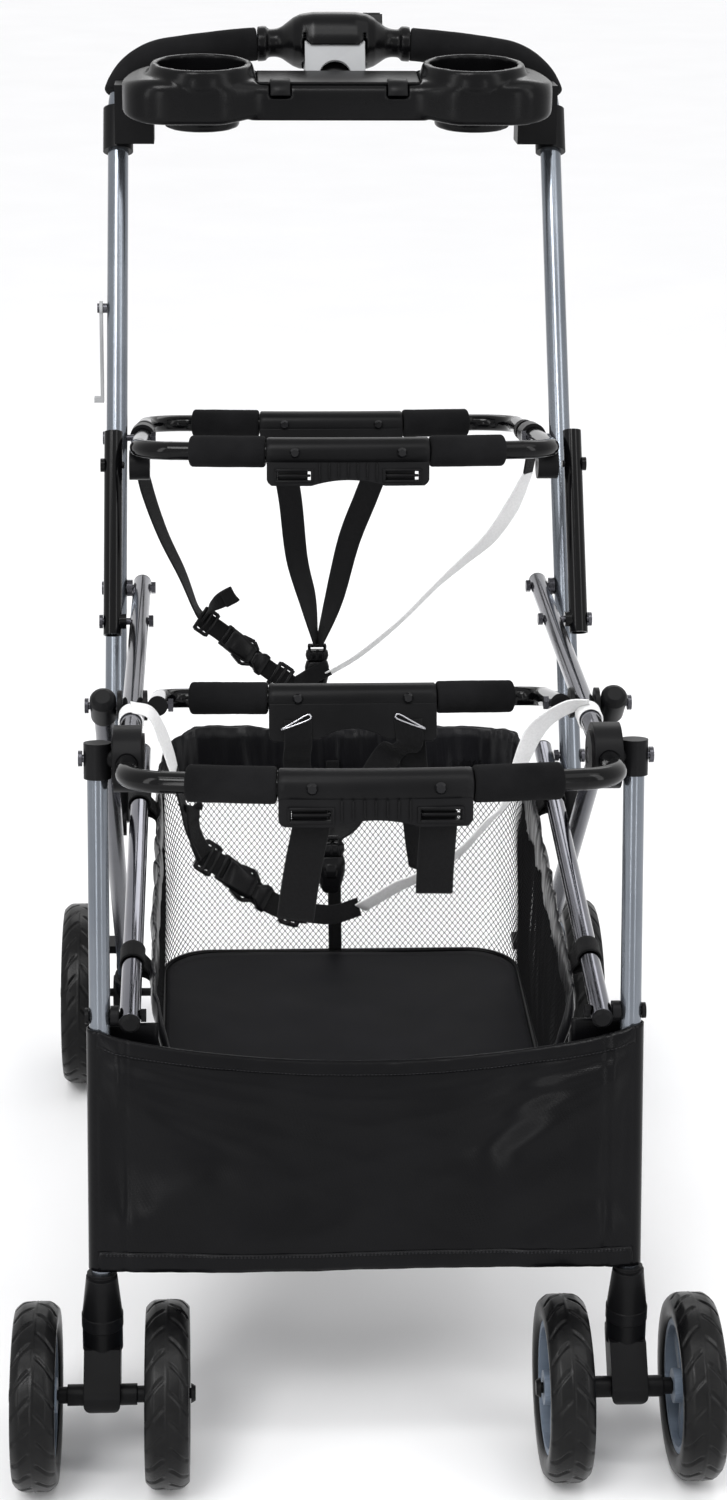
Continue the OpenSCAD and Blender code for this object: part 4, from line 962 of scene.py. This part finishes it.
for word, side, out in zip(WHEELS, (-1, -1, 1, 1), (-1, 1, -1, 1)):
    x = side * TRACK + out * CASTER_HALF
    tyre("front", word, FRONT_AXLE, x, FRONT_WHEEL_R, FRONT_TYRE_W, FRONT_WHEEL_R * 0.72, 21, 0.1 * x / 50)
for word, x in (("left", -TRACK - REAR_OUT), ("right", TRACK + REAR_OUT)):
    tyre("rear", word, REAR_AXLE, x, REAR_WHEEL_R, REAR_TYRE_W, REAR_WHEEL_R * 0.74, 27, 0.05)

# Apron: its edges as distances down the legs, its wrap round them, and its folds
APRON_TOP, APRON_LOW, APRON_SAG, FLAP = 207.0, 396.0, 26.0, 44.0
APRON_SPAN = APRON_LOW - APRON_TOP
APRON_R = TUBE_R + 1.6
SEAM_X = TRACK - 19.0
APRON_ROWS = 64
# Folds from the top corners: slope, width and depth
CORNER_FOLDS = ((0.11, 0.024, 3.4), (0.2, 0.028, 3.2), (0.32, 0.036, 2.6), (0.5, 0.045, 1.9))
# Creases between two places (x, share of the height), with width and depth
CREASES = (((122, 0.17), (96, 0.44), 20, -3.6), ((158, 0.28), (112, 0.47), 18, 3.6),
           ((150, 0.55), (98, 0.74), 22, 2.5), ((182, 0.22), (176, 0.6), 15, 2.5),
           ((-188, 0.2), (-126, 0.52), 26, 3.2), ((-176, 0.76), (-118, 0.62), 21, 2.5),
           ((-186, 0.34), (-178, 0.7), 14, -2.2), ((-40, 0.22), (60, 0.26), 24, 2.0),
           ((-92, 0.86), (-20, 0.8), 20, 1.9), ((126, 0.9), (176, 0.78), 14, 2.5),
           ((152, 0.93), (194, 0.84), 10, 2.0), ((-80, 0.3), (-52, 0.6), 30, -1.9))
CREASE_DEPTH = 1.4


def apron_section():
    """Plan of the panel from the flap behind one leg, round it, across and round the other."""
    left = [(-TRACK + FLAP * (1 - i / 12), APRON_R) for i in range(12)]
    left += [(-TRACK + APRON_R * math.cos(a), APRON_R * math.sin(a)) for a in sweep(90, 180, 13)]
    front = [(-TRACK + 2 * TRACK * i / 150, -APRON_R) for i in range(1, 150)]
    return left + front + [(-x, y) for x, y in reversed(left)]


def crease(x, v, start, end, width, depth):
    """Depth of one straight crease in the apron."""
    a, b, q = [Vector((px, pv * APRON_SPAN)) for px, pv in (start, end, (x, v))]
    t = unit((q - a).dot(b - a) / (b - a).length_squared)
    return depth * bell((q - a.lerp(b, t)).length, width)


def apron_fold(x, v):
    """Depth of the cloth's folds at a place across the panel; v runs from the top edge down."""
    edge = 1 - min(1.0, abs(x) / TRACK)
    d = 2.6 * bell(v - 0.16, 0.07) * (0.35 + 0.65 * abs(x) / TRACK)
    for sx in (-1, 1):
        dx = (TRACK - sx * x) / TRACK
        for k, (slope, width, depth) in enumerate(CORNER_FOLDS):
            d += depth * bell(v - (0.06 + 0.05 * k + slope * dx), width) * math.exp(-dx * 1.7)
    loose = min(1.0, edge * 8)
    d += 1.1 * wobble(x * 0.012, v * 4.5, 3.1) * loose
    d += 0.7 * wobble(x * 0.03 + v * 3.0, v * 6.0 - x * 0.018, 7.7) * loose
    d += CREASE_DEPTH * sum(crease(x, v, *fold) for fold in CREASES)
    d -= 1.3 * bell(abs(x) - SEAM_X, 2.2)
    d += max(0.0, v - 0.86) / 0.14 * 1.6 * wobble(x * 0.05, 2.2, v * 2)
    return d * min(1.0, edge * 14)


def on_apron(x, y, v, out=0.0):
    """Place on the panel, or this far in front of it; x and y are its plan and v runs down it."""
    front = y < -APRON_R * 0.9
    across = max(0.0, 1 - (x / TRACK) ** 2)
    sag = APRON_SAG * across ** 0.8 if y < 0 else 0.0
    rise = 0.8 * math.sin(x * 0.021) * v if v > 0.5 else 0.0
    push = 3.5 * across * math.exp(-v * 9) - (apron_fold(x, v) if front else 0.0)
    return in_leg(x, y + push - out, -APRON_TOP - (APRON_SPAN - sag) * v - sag + rise)


def make_hem(name, v0, v1, plan):
    """Folded edge of the apron, a little puckered."""
    d = v1 - v0
    section = ((v0, 0.5), (v0, 1.3), (v0 + d * 0.25, 1.7), (v0 + d * 0.75, 1.7), (v1, 1.2), (v1, 0.5))

    def edge(x, y, v, out):
        return on_apron(x, y, v, out + 0.7 * wobble(x * 0.11 + v * 30, v * 9, 1.3))

    rings = [[edge(x, y, v, out) for v, out in section] for x, y in plan if y <= -APRON_R * 0.9]
    return Shape().loft(rings).make(name, "nylon", "front_legs", "cloth")


def make_apron():
    plan = apron_section()
    rows = [i / APRON_ROWS for i in range(APRON_ROWS + 1)]
    panel = Shape().loft([[on_apron(x, y, v) for x, y in plan] for v in rows], closed=False)
    ob = piece("apron_panel", panel.verts, panel.faces, "nylon", "front_legs", panel.uvs)
    thicken(ob, 0.0011)
    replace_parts(ob, "front_apron")
    hems = [make_hem("apron_top_hem", 0.0, 0.07, plan), make_hem("apron_bottom_hem", 0.915, 1.0, plan)]
    shape = Shape()
    for v in (0.062, 0.922, 0.928):
        row = [on_apron(TRACK * (1.97 * i / 140 - 0.985), -APRON_R, v, 2.0) for i in range(141)]
        for a, b in zip(row, row[1:]):
            stitch(shape, a, b, way(in_leg, 0, -1, 0))
    seam = shape.make("apron_stitching", "thread", "front_legs", "cloth")
    # the way along the legs and the apron's low edge are worked out, and each piece of cloth gets a mesh of
    # its own
    along, low = way(in_leg, 0, 0, 1), in_leg(0, 0, -APRON_LOW) * MM
    for cloth in [ob, *hems, seam]:
        tuple(along)
        tuple(low)
        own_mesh(cloth)


make_apron()

# Basket: half width, front and back, floor height, and the places round its outline
HALF = RAIL_X - TUBE_R - 7
B_Y0, B_Y1, B_FLOOR = LOWER_FRONT.y + 24, LOWER_REAR.y + 46, 205.0
MID_Y = (B_Y0 + B_Y1) / 2
BACK_CORNER, FRONT_CORNER = 44.0, 14.0
RAIL_DIR = (LOWER_REAR - LOWER_FRONT).normalized()
RAIL_UP = Vector((0, -RAIL_DIR.z, RAIL_DIR.y))
COUNT = 420
# Walls: where the rim's casing starts, the rim's rise at the back and dip in front, and the net's cells
RIM_V, BACK_RISE, FRONT_DIP = 0.825, 20.0, 62.0
WALL_HIGH, CELL = 150.0, 5.2


def basket_plan(back):
    """Closed outline of the basket seen from above, and its length; back is where its rear wall stands."""
    x, y0, y1 = HALF - 2, B_Y0 + 2, back
    r, q = BACK_CORNER, FRONT_CORNER
    sides = (((x, y0 + q), (x, y1 - r), (x - r, y1 - r), r), ((x - r, y1), (r - x, y1), (r - x, y1 - r), r),
             ((-x, y1 - r), (-x, y0 + q), (q - x, y0 + q), q), ((q - x, y0), (x - q, y0), (x - q, y0 + q), q))
    total = sum(math.dist(a, b) + radius * math.pi / 2 for a, b, c, radius in sides)
    pts = []
    for i in range(COUNT):
        d = total * i / COUNT
        for k, (a, b, c, radius) in enumerate(sides):
            line, bend = math.dist(a, b), radius * math.pi / 2
            if d <= line + bend:
                break
            d -= line + bend
        if d <= line:
            pts.append(Vector(a).lerp(Vector(b), d / line))
        else:
            turn = (k + (d - line) / bend) * math.pi / 2
            pts.append(Vector((c[0] + radius * math.cos(turn), c[1] + radius * math.sin(turn))))
    return pts, total


FLOOR_PLAN, PLAN_LEN = basket_plan(B_Y1)
TOP_PLAN = basket_plan(B_Y1 - 26)[0]


def rim_height(y):
    return LOWER_FRONT.lerp(LOWER_REAR, (y - LOWER_FRONT.y) / (LOWER_REAR.y - LOWER_FRONT.y)).z


def wall_point(i, v):
    """Point of the wall; i runs round the outline and v from the floor to the rim."""
    k = int(i % COUNT)
    t = i % COUNT - k
    low = FLOOR_PLAN[k].lerp(FLOOR_PLAN[(k + 1) % COUNT], t).to_3d()
    top = TOP_PLAN[k].lerp(TOP_PLAN[(k + 1) % COUNT], t).to_3d()
    dip = unit((B_Y0 + 18 - top.y) / 14) * unit((HALF - abs(top.x)) / 24)
    low.z = B_FLOOR + 3
    top.z = rim_height(top.y) - 2 + BACK_RISE * ease(40, 90, top.y) - FRONT_DIP * ease(0, 1, dip)
    p = low.lerp(top, v)
    inward = Vector((-p.x, MID_Y - p.y, 0)).normalized()
    fold = 3.2 * wobble(p.x * 0.02, p.y * 0.02, v * 1.3) + 2.2 * wobble(p.x * 0.05, p.y * 0.05, v * 2.0 + 4)
    return p + inward * math.sin(math.pi * v) * (3.0 + fold)


def crumple(ob):
    """Gives a piece of the basket a mesh of its own."""
    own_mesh(ob)
    return ob


def make_net():
    """Walls of the basket but the front: diamond cells of crossed strands."""
    cols, rows = 2 * int(PLAN_LEN / CELL), 2 * int(WALL_HIGH / CELL)
    verts, index, quads = [], {}, []

    def spot(c, r):
        key = (c % cols, r)
        if key not in index:
            index[key] = len(verts)
            verts.append(wall_point(key[0] / cols * COUNT, r / rows * (RIM_V + 0.03)))
        return index[key]

    for c in range(cols):
        for r in range(c % 2, rows - 1, 2):
            quads.append((spot(c, r + 1), spot(c + 1, r), spot(c + 2, r + 1), spot(c + 1, r + 2)))
    quads = [q for q in quads if not all(verts[i].y < B_Y0 + 20 for i in q)]
    used = sorted({i for q in quads for i in q})
    place = {old: new for new, old in enumerate(used)}
    net = piece("basket_net", [verts[i] for i in used], [[place[i] for i in q] for q in quads], "net",
                "lower_rails", smooth=False)
    mod = net.modifiers.new("strands", "WIREFRAME")
    mod.thickness = 0.00095
    mod.use_even_offset = False
    mod.use_boundary = True
    return crumple(net)


def make_rim():
    """Elastic casing of the rim, drawn into ruffles; its section is (height share, outward)."""
    section = ((RIM_V - 0.015, 0.4), (RIM_V + 0.01, 2.6), (RIM_V + 0.045, 4.6), (0.90, 4.9), (0.935, 4.2),
               (0.965, 3.2), (0.99, 2.0), (1.0, 0.6), (0.993, -1.2), (0.95, -2.2), (0.89, -1.8),
               (RIM_V + 0.02, -1.2), (RIM_V - 0.01, -0.5))
    steps, rings = 760, []
    for i in range(steps):
        ring = []
        fan = 2.4 * wobble(i * 0.02, 4.4, 0.0)
        for v, out in section:
            p = wall_point(COUNT * i / steps, v)
            gather = 3.0 * wobble(i * 0.10 + fan, v * 3.0, 0.3) + 2.3 * wobble(i * 0.27 + fan, v * 6.0, 5.1)
            lift = 3.4 * wobble(i * 0.09, 9.4, 0.0) * unit((v - 0.93) / 0.06)
            push = out * 0.8 + gather * (0.6 if out < 0 else 1.25)
            ring.append(p + Vector((p.x, p.y - MID_Y, 0)).normalized() * push + UP * lift)
        rings.append(ring)
    return crumple(Shape().loft(rings, wrap=True).make("basket_rim", "casing", "lower_rails", "cloth"))


def make_front_wall():
    """Front wall of the basket, solid cloth behind the apron."""
    half, height = HALF - 10, rim_height(B_Y0) - 2 - B_FLOOR
    xs = [-half + 2 * half * j / 59 for j in range(60)]
    rings = []
    for r in range(19):
        v = r / 18 * 0.52
        z = B_FLOOR + 2 + height * v
        rings.append([(x, B_Y0 + 3.6 + 2.2 * wobble(x * 0.02, v * 2, 8.8), z) for x in xs])
    wall = Shape().loft(rings, closed=False).make("basket_front_wall", "nylon", "lower_rails", "cloth")
    thicken(wall, 0.0012)
    return crumple(wall)


def make_floor():
    """Stiffened board in a cloth cover, a little dished."""
    steps, plan = 26, FLOOR_PLAN[::3]
    tops, unders = [], []
    for i in range(steps + 1):
        t = i / steps
        dish = 2.6 * t ** 6
        top, under = [], []
        for p in plan:
            x, y = p.x * t * 0.988, MID_Y + (p.y - MID_Y) * t * 0.988
            wavy = 1.1 * wobble(x * 0.012, y * 0.012, 2.0)
            if i:
                wavy += 0.5 * wobble(x * 0.04, y * 0.03, 6.0)
            top.append(Vector((x, y, B_FLOOR + 3.6 + dish + wavy)))
            under.append(Vector((x, y, B_FLOOR + 0.6 + 0.4 * dish)))
        tops.append(top)
        unders.append(under)
    count = len(plan)
    shape = Shape().loft(unders[1:] + tops[:0:-1], caps=False)
    for ring, centre in ((0, unders[0][0]), (2 * steps - 1, tops[0][0])):
        hub, first = len(shape.verts), ring * count
        shape.verts.append(centre)
        shape.uvs.append((0, 0))
        shape.faces += [(first + j, first + (j + 1) % count, hub) for j in range(count)]
    return crumple(shape.make("basket_floor", "floor", "lower_rails", "cloth"))


def make_basket():
    net, rim, wall, floor = make_net(), make_rim(), make_front_wall(), make_floor()
    rings = []
    for p in FLOOR_PLAN[::2]:
        out = Vector((p.x, p.y - MID_Y, 0)).normalized()
        rings.append(arc(Vector((p.x, p.y, B_FLOOR + 6.0)) - out * 1.6, out, UP, 2.6, around(10)))
    crumple(Shape().loft(rings, wrap=True).make("basket_piping", "nylon", "lower_rails", "cloth"))
    # middle strap up the back wall
    shape = Shape()
    back = min(range(COUNT), key=lambda i: abs(FLOOR_PLAN[i].x + 5) - FLOOR_PLAN[i].y * 10)
    pts = [wall_point(back, v) + Vector((0, -2.4, 0)) for v in (0.02, 0.2, 0.4, 0.6, 0.8, 0.86)]
    webbing(shape, pts, (1, 0, 0), 12.0, 1.5)
    strap = crumple(shape.make("basket_back_strap", "web", "lower_rails", "webbing"))
    # loops that hang the rim from the rails; ends are (way out, way down)
    shape = Shape()
    ends = ((-1, 34), (-0.5, 14), (1.6, 15), (0.8, 30))
    for s in (-1, 1):
        for t in (0.2, 0.82):
            c = at_x(s * RAIL_X, LOWER_FRONT.lerp(LOWER_REAR, t))
            pts = [at_x(s * (HALF + x), c) - RAIL_UP * d for x, d in ends]
            pts[2:2] = arc(c, Vector((s, 0, 0)), RAIL_UP, 9.2, sweep(200, -290, 11))
            webbing(shape, pts, RAIL_DIR, 20.0, 1.5, 4)
    loops = shape.make("basket_loops", "web", "lower_rails", "webbing")
    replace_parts(floor, "basket")


make_basket()


def turned(points, shares):
    """Width directions of a strap that shows these shares of its width to someone in front and above."""
    out = []
    for i, share in enumerate(shares):
        run = Vector(points[min(i + 1, len(points) - 1)]) - Vector(points[max(i - 1, 0)])
        x, z = -run.z, run.x
        size = math.hypot(x, z)
        c = max(-0.95, min(0.95, share - 0.3 * z / size))
        out.append(Vector((x / size * c, math.sqrt(1 - c * c), z / size * c)))
    return out


def centre_buckle(shape, at):
    """Adds the middle buckle: oval body, ribbed cap, press button, and a foot with its bar."""
    for y, z, stations in (
            (0, -23, ((0, 4.5, 2.6, 2.4), (1.2, 6.6, 3.6, 3.2), (8, 9.4, 5.2, 4.6), (18, 11.8, 6.2, 5.6),
                      (27, 11.9, 6.4, 5.8), (32, 10.4, 5.8, 5), (33, 9.2, 4.8, 4))),
            (0, 10.6, ((0, 8.6, 4.4, 3.4), (1, 10.2, 5.4, 4), (5, 11.2, 5.6, 4), (9, 10.6, 5.2, 3.8),
                       (10, 9.4, 4.4, 3.4))),
            (-5.6, -8, ((0, 3.2, 1.0, 0.9), (1.4, 4.6, 1.7, 1.5), (6, 5.2, 1.9, 1.7), (10.6, 4.6, 1.7, 1.5),
                        (12, 3.2, 1.0, 0.9)))):
        body_loft(shape, at + Vector((0, y, z)), UP, (1, 0, 0), stations)
    for a, b, w, h in (((-6, -5.4, 12), (-6, -5.2, 20), 1.6, 1.8), ((0, -5.4, 12), (0, -5.2, 20), 1.6, 1.8),
                       ((6, -5.4, 12), (6, -5.2, 20), 1.6, 1.8), ((-7.4, 0, 19), (-7.8, 0, 26), 3.0, 4.4),
                       ((7.4, 0, 19), (7.8, 0, 26), 3.0, 4.4), ((-9, 0, 25.4), (9, 0, 25.4), 3.2, 4.2)):
        bar(shape, at + Vector(a), at + Vector(b), (0, 1, 0), w, h)


def wire_loop(shape, points, r):
    """Adds a bent wire through points."""
    path = curve_through(points, 6)
    ways = frames(path, [Vector((0, 1, 0.2))] * len(path))
    shape.loft([arc(p, s, k, r, around(8)) for p, (s, k) in zip(path, ways)])


def make_harness(word, body, rear, tilt, side, side_tilt, plan):
    """Straps, sliders and buckles of one seat ring; plan holds its runs in millimetres."""
    black, white, plastic, wire = [Shape() for _ in range(4)]
    width, wide = STRAP_W * 0.8, STRAP_W * 0.92
    slim, narrow = width * 0.9, width * 0.8
    place = leaning(rear, tilt)
    front = SLOT_BOW - COVER_R - 1.2
    # two straps from the saddle slots that turn edge on and meet at the buckle
    for s, run in zip((-1, 1), plan["centre"]):
        slot = [place(s * SLOT_X, front, v) for v in (-17.5, -38)]
        ways = [(1, 0, 0), (1, 0, 0), (1, -s * 0.2, 0), (0.85, -s * 0.6, 0), (0.12, -s, 0)]
        webbing(black, slot + run, ways, wide, 1.7, 7)
        a, b, c = [place(s * x, front - 1.4, v) for x, v in ((59.5, -25), (37.5, -13), (35.6, -16.4))]
        wire_loop(wire, [a, a.lerp(b, 0.5), b, c, c.lerp(a, 0.5) - UP * 0.8, a - UP * 0.6], 0.8)
    # loops round the side bars
    turn = plan["white_left"]
    up = Vector((0, -math.sin(side_tilt), math.cos(side_tilt)))
    along = Vector((0, math.cos(side_tilt), math.sin(side_tilt)))
    for s in (-1, 1):
        ring = arc(at_x(s * RAIL_X, side), up, Vector((-s, 0, 0)), 9.3, sweep(-170, 340, 15))
        webbing(white if turn else black, ring, along, slim, 1.4, 4)
    # left strap, slider with its folded tail, side release buckle, second slider, lap strap
    left = plan["left"]
    ways = turned(left, plan["left_turn"])
    if turn:
        webbing(white, left[:turn + 1], ways[:turn + 1], width, 1.3, 6)
    webbing(black, left[turn:], ways[turn:], width, 1.6, 6)
    chain = [Vector(q) for q in plan["chain"]]
    d = (chain[-1] - chain[0]).normalized()
    tall = Vector((0.52, 0.42, 0.74))
    tall = (tall - d * tall.dot(d)).normalized()
    webbing(black, [left[-1], *chain], tall, slim, 1.6, 6)
    slider(plastic, chain[0], chain[1] - chain[0], tall, 25, 14, 3.6)
    side_release(plastic, chain[1].lerp(chain[2], 0.52), chain[2] - chain[1], tall, 22)
    slider(plastic, chain[3], chain[4] - chain[2], tall, 25, 15, 3.8)
    webbing(black, [chain[-1], *plan["lap"]], [tall, (0.25, 0.2, 0.95), (0.15, 0.25, 1)], narrow, 1.8)
    tail, tail_side = [Vector(q) for q in plan["tail"]], plan["tail_side"]
    webbing(black, tail, [tall, (0.35, 0.6, 0.7), tail_side], narrow, 1.6, 7)
    end = tail[-1]
    t = (end - tail[-2]).normalized()
    fold = [end + t * forth - Vector((0, out, 0)) for forth, out in ((0, 0), (3, 1.6), (1.2, 3.2), (-9, 2.8))]
    webbing(black, fold, tail_side, narrow, 1.6, 5)
    # right strap, white but for its top in the rear ring, from its loop to the lap strap
    right, start = plan["right"], plan["right_black"]
    ways = turned(right, plan["right_turn"])
    if start:
        webbing(black, right[:start + 1], ways[:start + 1], slim, 1.6, 6)
    webbing(white, right[start:], ways[start:], width, 1.3, 6)
    for run in plan["loose"]:
        webbing(black, run, [(1, 0, 0), (1, -0.2, 0), (0.6, -0.8, 0)], wide)
    centre_buckle(plastic, Vector(plan["buckle"]))
    return [black.make(f"{word}_straps_black", "web", body, "webbing"),
            white.make(f"{word}_straps_white", "white", body, "webbing"),
            plastic.make(f"{word}_buckles", "smooth", body, "black_plastic"),
            wire.make(f"{word}_wires", "wire", body, "steel")]


# Runs of each harness as points; white_left and right_black count the points where a colour ends
REAR_PLAN = {
    "centre": ([(-39.5, 371, 573), (-33.6, 360, 520), (-23.5, 343, 482), (-15.4, 330, 440)],
               [(34, 371, 579), (17.2, 362, 537), (1.9, 343, 482), (-12.6, 330, 440)]),
    "white_left": 0,
    "left": [(-187.2, 296, 656), (-178, 299, 609), (-163, 303, 562), (-145, 307, 521), (-132.8, 311, 487),
             (-127, 312.5, 476)],
    "left_turn": (0.5, 0.6, 0.5, 0.4, 0.25, 0.3),
    "chain": [(-122, 313, 470.5), (-104, 316.5, 456), (-64, 322, 420), (-50, 324, 410), (-39, 325, 401)],
    "lap": [(-22, 319.6, 411), (-3.5, 322, 420)],
    "tail": [(-124, 311, 474), (-119, 308, 485), (-110, 306, 493), (-98, 305, 500)],
    "tail_side": (-0.55, 0.3, 0.78),
    "right": [(187.4, 297, 652), (183, 298, 622), (168.3, 301, 587), (149, 305, 555.6), (123.4, 309, 530),
              (97.7, 313, 504), (72, 317, 475), (48.7, 320, 452), (22.5, 324, 429), (-4, 326, 412)],
    "right_turn": (0.6, 0.5, 0.7, 0.6, 0.4, 0.25, 0.22, 0.25, 0.25, 0.25),
    "right_black": 1,
    "loose": [],
    "buckle": (-14.5, 329, 415),
}
FRONT_PLAN = {
    "centre": ([(-46, -68, 470), (-38, -86, 447), (-27, -106, 433), (-20.6, -115, 424)],
               [(30, -70, 480), (12, -84, 458), (-4, -104, 434), (-17.4, -114, 424)]),
    "white_left": 4,
    "left": [(-179, -182, 563.4), (-164, -180, 557.6), (-155.2, -176, 538), (-149.2, -172, 518),
             (-145.6, -168, 503), (-140, -160, 474), (-136.5, -155, 454), (-130.9, -150, 437),
             (-125.8, -147, 425)],
    "left_turn": (0.35, 0.35, 0.4, 0.35, 0.25, 0.2, 0.2, 0.2, 0.25),
    "chain": [(-120, -146, 421), (-107, -142, 410), (-72, -132, 377), (-50, -126, 365), (-38, -122, 361)],
    "lap": [(-17, -125, 361), (4, -119, 365)],
    "tail": [(-123, -149, 424), (-129, -154, 440), (-131.5, -157, 455), (-131.5, -158, 468)],
    "tail_side": (0.6, 0.78, 0.05),
    "right": [(179, -182, 563.4), (164.2, -180, 561), (148, -176, 550), (137.7, -170, 535),
              (130.3, -163, 512), (125, -155, 488), (118, -150, 466), (107, -146, 452), (94, -140, 433),
              (80, -135, 416), (50, -128, 394), (35, -124, 385), (5, -119.6, 364)],
    "right_turn": (0.35, 0.5, 0.6, 0.75, 0.7, 0.5, 0.35, 0.35, 0.35, 0.4, 0.45, 0.5, 0.5),
    "right_black": 0,
    "loose": [[(48, -62.6, 500), (52, -67, 456), (54, -69, 412), (56, -70, 376)]],
    "buckle": (-19.6, -116, 400),
}
front_parts = make_harness("front_harness", "rail_frame", FRONT_RING_REAR, BACK_TILT, on_rail(-182),
                           math.atan(SLOPE), FRONT_PLAN)
rear_parts = make_harness("rear_harness", "rear_ring", REAR_RING_REAR, RING_TILT, RING_PIVOT + 76 * RING_DIR,
                          -RING_TILT, REAR_PLAN)

# Two short strips that hang from the slots of the front saddle: shares of drift and length, and way back
HANG = ((0.4, 2, 0.35), (0.75, 3, 0.7), (1, 2, 1))
shape = Shape()
in_saddle = leaning(FRONT_RING_FRONT, RING_TILT)
for s, length, drift in ((-1, 74, -11), (1, 54, -2)):
    top = in_saddle(s * SLOT_X, SLOT_BOW + 6.0, -20)
    low = in_saddle(s * SLOT_X, SLOT_BOW + 4.5, -30)
    hang = [low + Vector((drift * x, y, -length * z)) for x, y, z in HANG]
    webbing(shape, [top, low, *hang], (1, 0.04 * s, 0), STRAP_W + 2, 2.0)
strips = shape.make("front_saddle_strips", "web", "rail_frame", "webbing")

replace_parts(front_parts[0], "front_harness")
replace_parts(rear_parts[0], "rear_harness")
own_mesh(strips)
for ob in front_parts[:3]:
    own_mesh(ob)
for ob in rear_parts[:3]:
    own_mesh(ob)

# Studio: a pale floor, a world that camera and gloss see as plain white, and soft lamps
corners = [(-40, -40, 0), (40, -40, 0), (40, 60, 0), (-40, 60, 0)]
floor = new_object("studio_floor", corners, [(0, 1, 2, 3)], 1.0)
ground = new_nodes("studio_floor_paint")
ground.feed("Base Color", ground.ramp(ground.noise(ground.coords(), 3.0, 4.0),
                                      [(0.3, (0.86, 0.86, 0.86)), (0.7, (0.88, 0.88, 0.88))]))
ground.set(Roughness=0.9, Specular_IOR_Level=0.1)
floor.data.materials.append(ground.owner)
floor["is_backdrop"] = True

sky = Nodes(bpy.data.worlds.new("studio_world"), "Background")
scene.world = sky.owner
direction = sky.add("ShaderNodeTexCoord").outputs["Generated"]
height = sky.through("ShaderNodeSeparateXYZ", 0, direction, "Z")
height = sky.through("ShaderNodeMapRange", "Value", height, "Result", From_Min=-1.0)
rays = sky.add("ShaderNodeLightPath")
seen = rays.outputs["Is Camera Ray"]
for ray in ("Is Glossy Ray", "Is Transmission Ray"):
    seen = sky.math("MAXIMUM", seen, rays.outputs[ray])
mix = sky.choose(seen, (1.25, 1.25, 1.25, 1))
glow = sky.ramp(height, [(0.5, (0.22, 0.22, 0.23)), (0.86, (1.0, 1.0, 1.02))])
sky.link(glow, mix.inputs[6])
sky.feed("Color", mix.outputs[2])
sky.set(Strength=0.8)


def lamp(name, kind, aim, power, at=(0, 0, 0)):
    """New lamp that points along a direction."""
    data = bpy.data.lights.new(name, kind)
    data.energy = power
    ob = bpy.data.objects.new(name, data)
    ob.location = at
    ob.rotation_mode = "QUATERNION"
    ob.rotation_quaternion = Vector(aim).to_track_quat("-Z", "Y")
    scene.collection.objects.link(ob)
    return data


lamp("key_sun", "SUN", (0.35, 0.75, -1.0), 1.2).angle = math.radians(20)
lamp("fill_sun", "SUN", (-0.6, 0.4, -1.0), 0.5).angle = math.radians(40)
# Soft boxes: place, height that they aim at, width and height, power
for name, at, aim, size, power in (("left_box", (-1.9, -1.5, 1.5), 0.6, (0.5, 2.2), 16),
                                   ("right_box", (1.9, -1.3, 1.5), 0.6, (0.5, 2.2), 12),
                                   ("top_box", (-0.1, -0.9, 2.7), 0.7, (2.0, 0.3), 14),
                                   ("front_left_strip", (-1.1, -2.7, 0.9), 0.4, (0.22, 1.7), 9),
                                   ("front_right_strip", (1.2, -2.5, 0.9), 0.4, (0.22, 1.7), 6),
                                   ("back_box", (0.4, 2.4, 2.2), 0.6, (2.0, 1.0), 14)):
    box = lamp(name, "AREA", UP * aim - Vector(at), power, at)
    box.shape = "RECTANGLE"
    box.size, box.size_y = size

# Camera of the photograph: about 2.2 m away and 1.3 m high, looking 16 degrees down
cam_data = bpy.data.cameras.new("photo_camera")
cam = bpy.data.objects.new("photo_camera", cam_data)
scene.collection.objects.link(cam)
scene.camera = cam
cam.location = (-0.113, -2.163, 1.283)
cam.rotation_euler = (math.radians(90 - 16.115), math.radians(-0.365), math.radians(-2.106))
cam_data.lens = 64.78
cam_data.sensor_width = 36.0
cam_data.shift_x = 0.032
cam_data.shift_y = -0.15
cam_data.clip_start, cam_data.clip_end = 0.05, 100.0
scene.view_settings.view_transform = "Standard"

low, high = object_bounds()
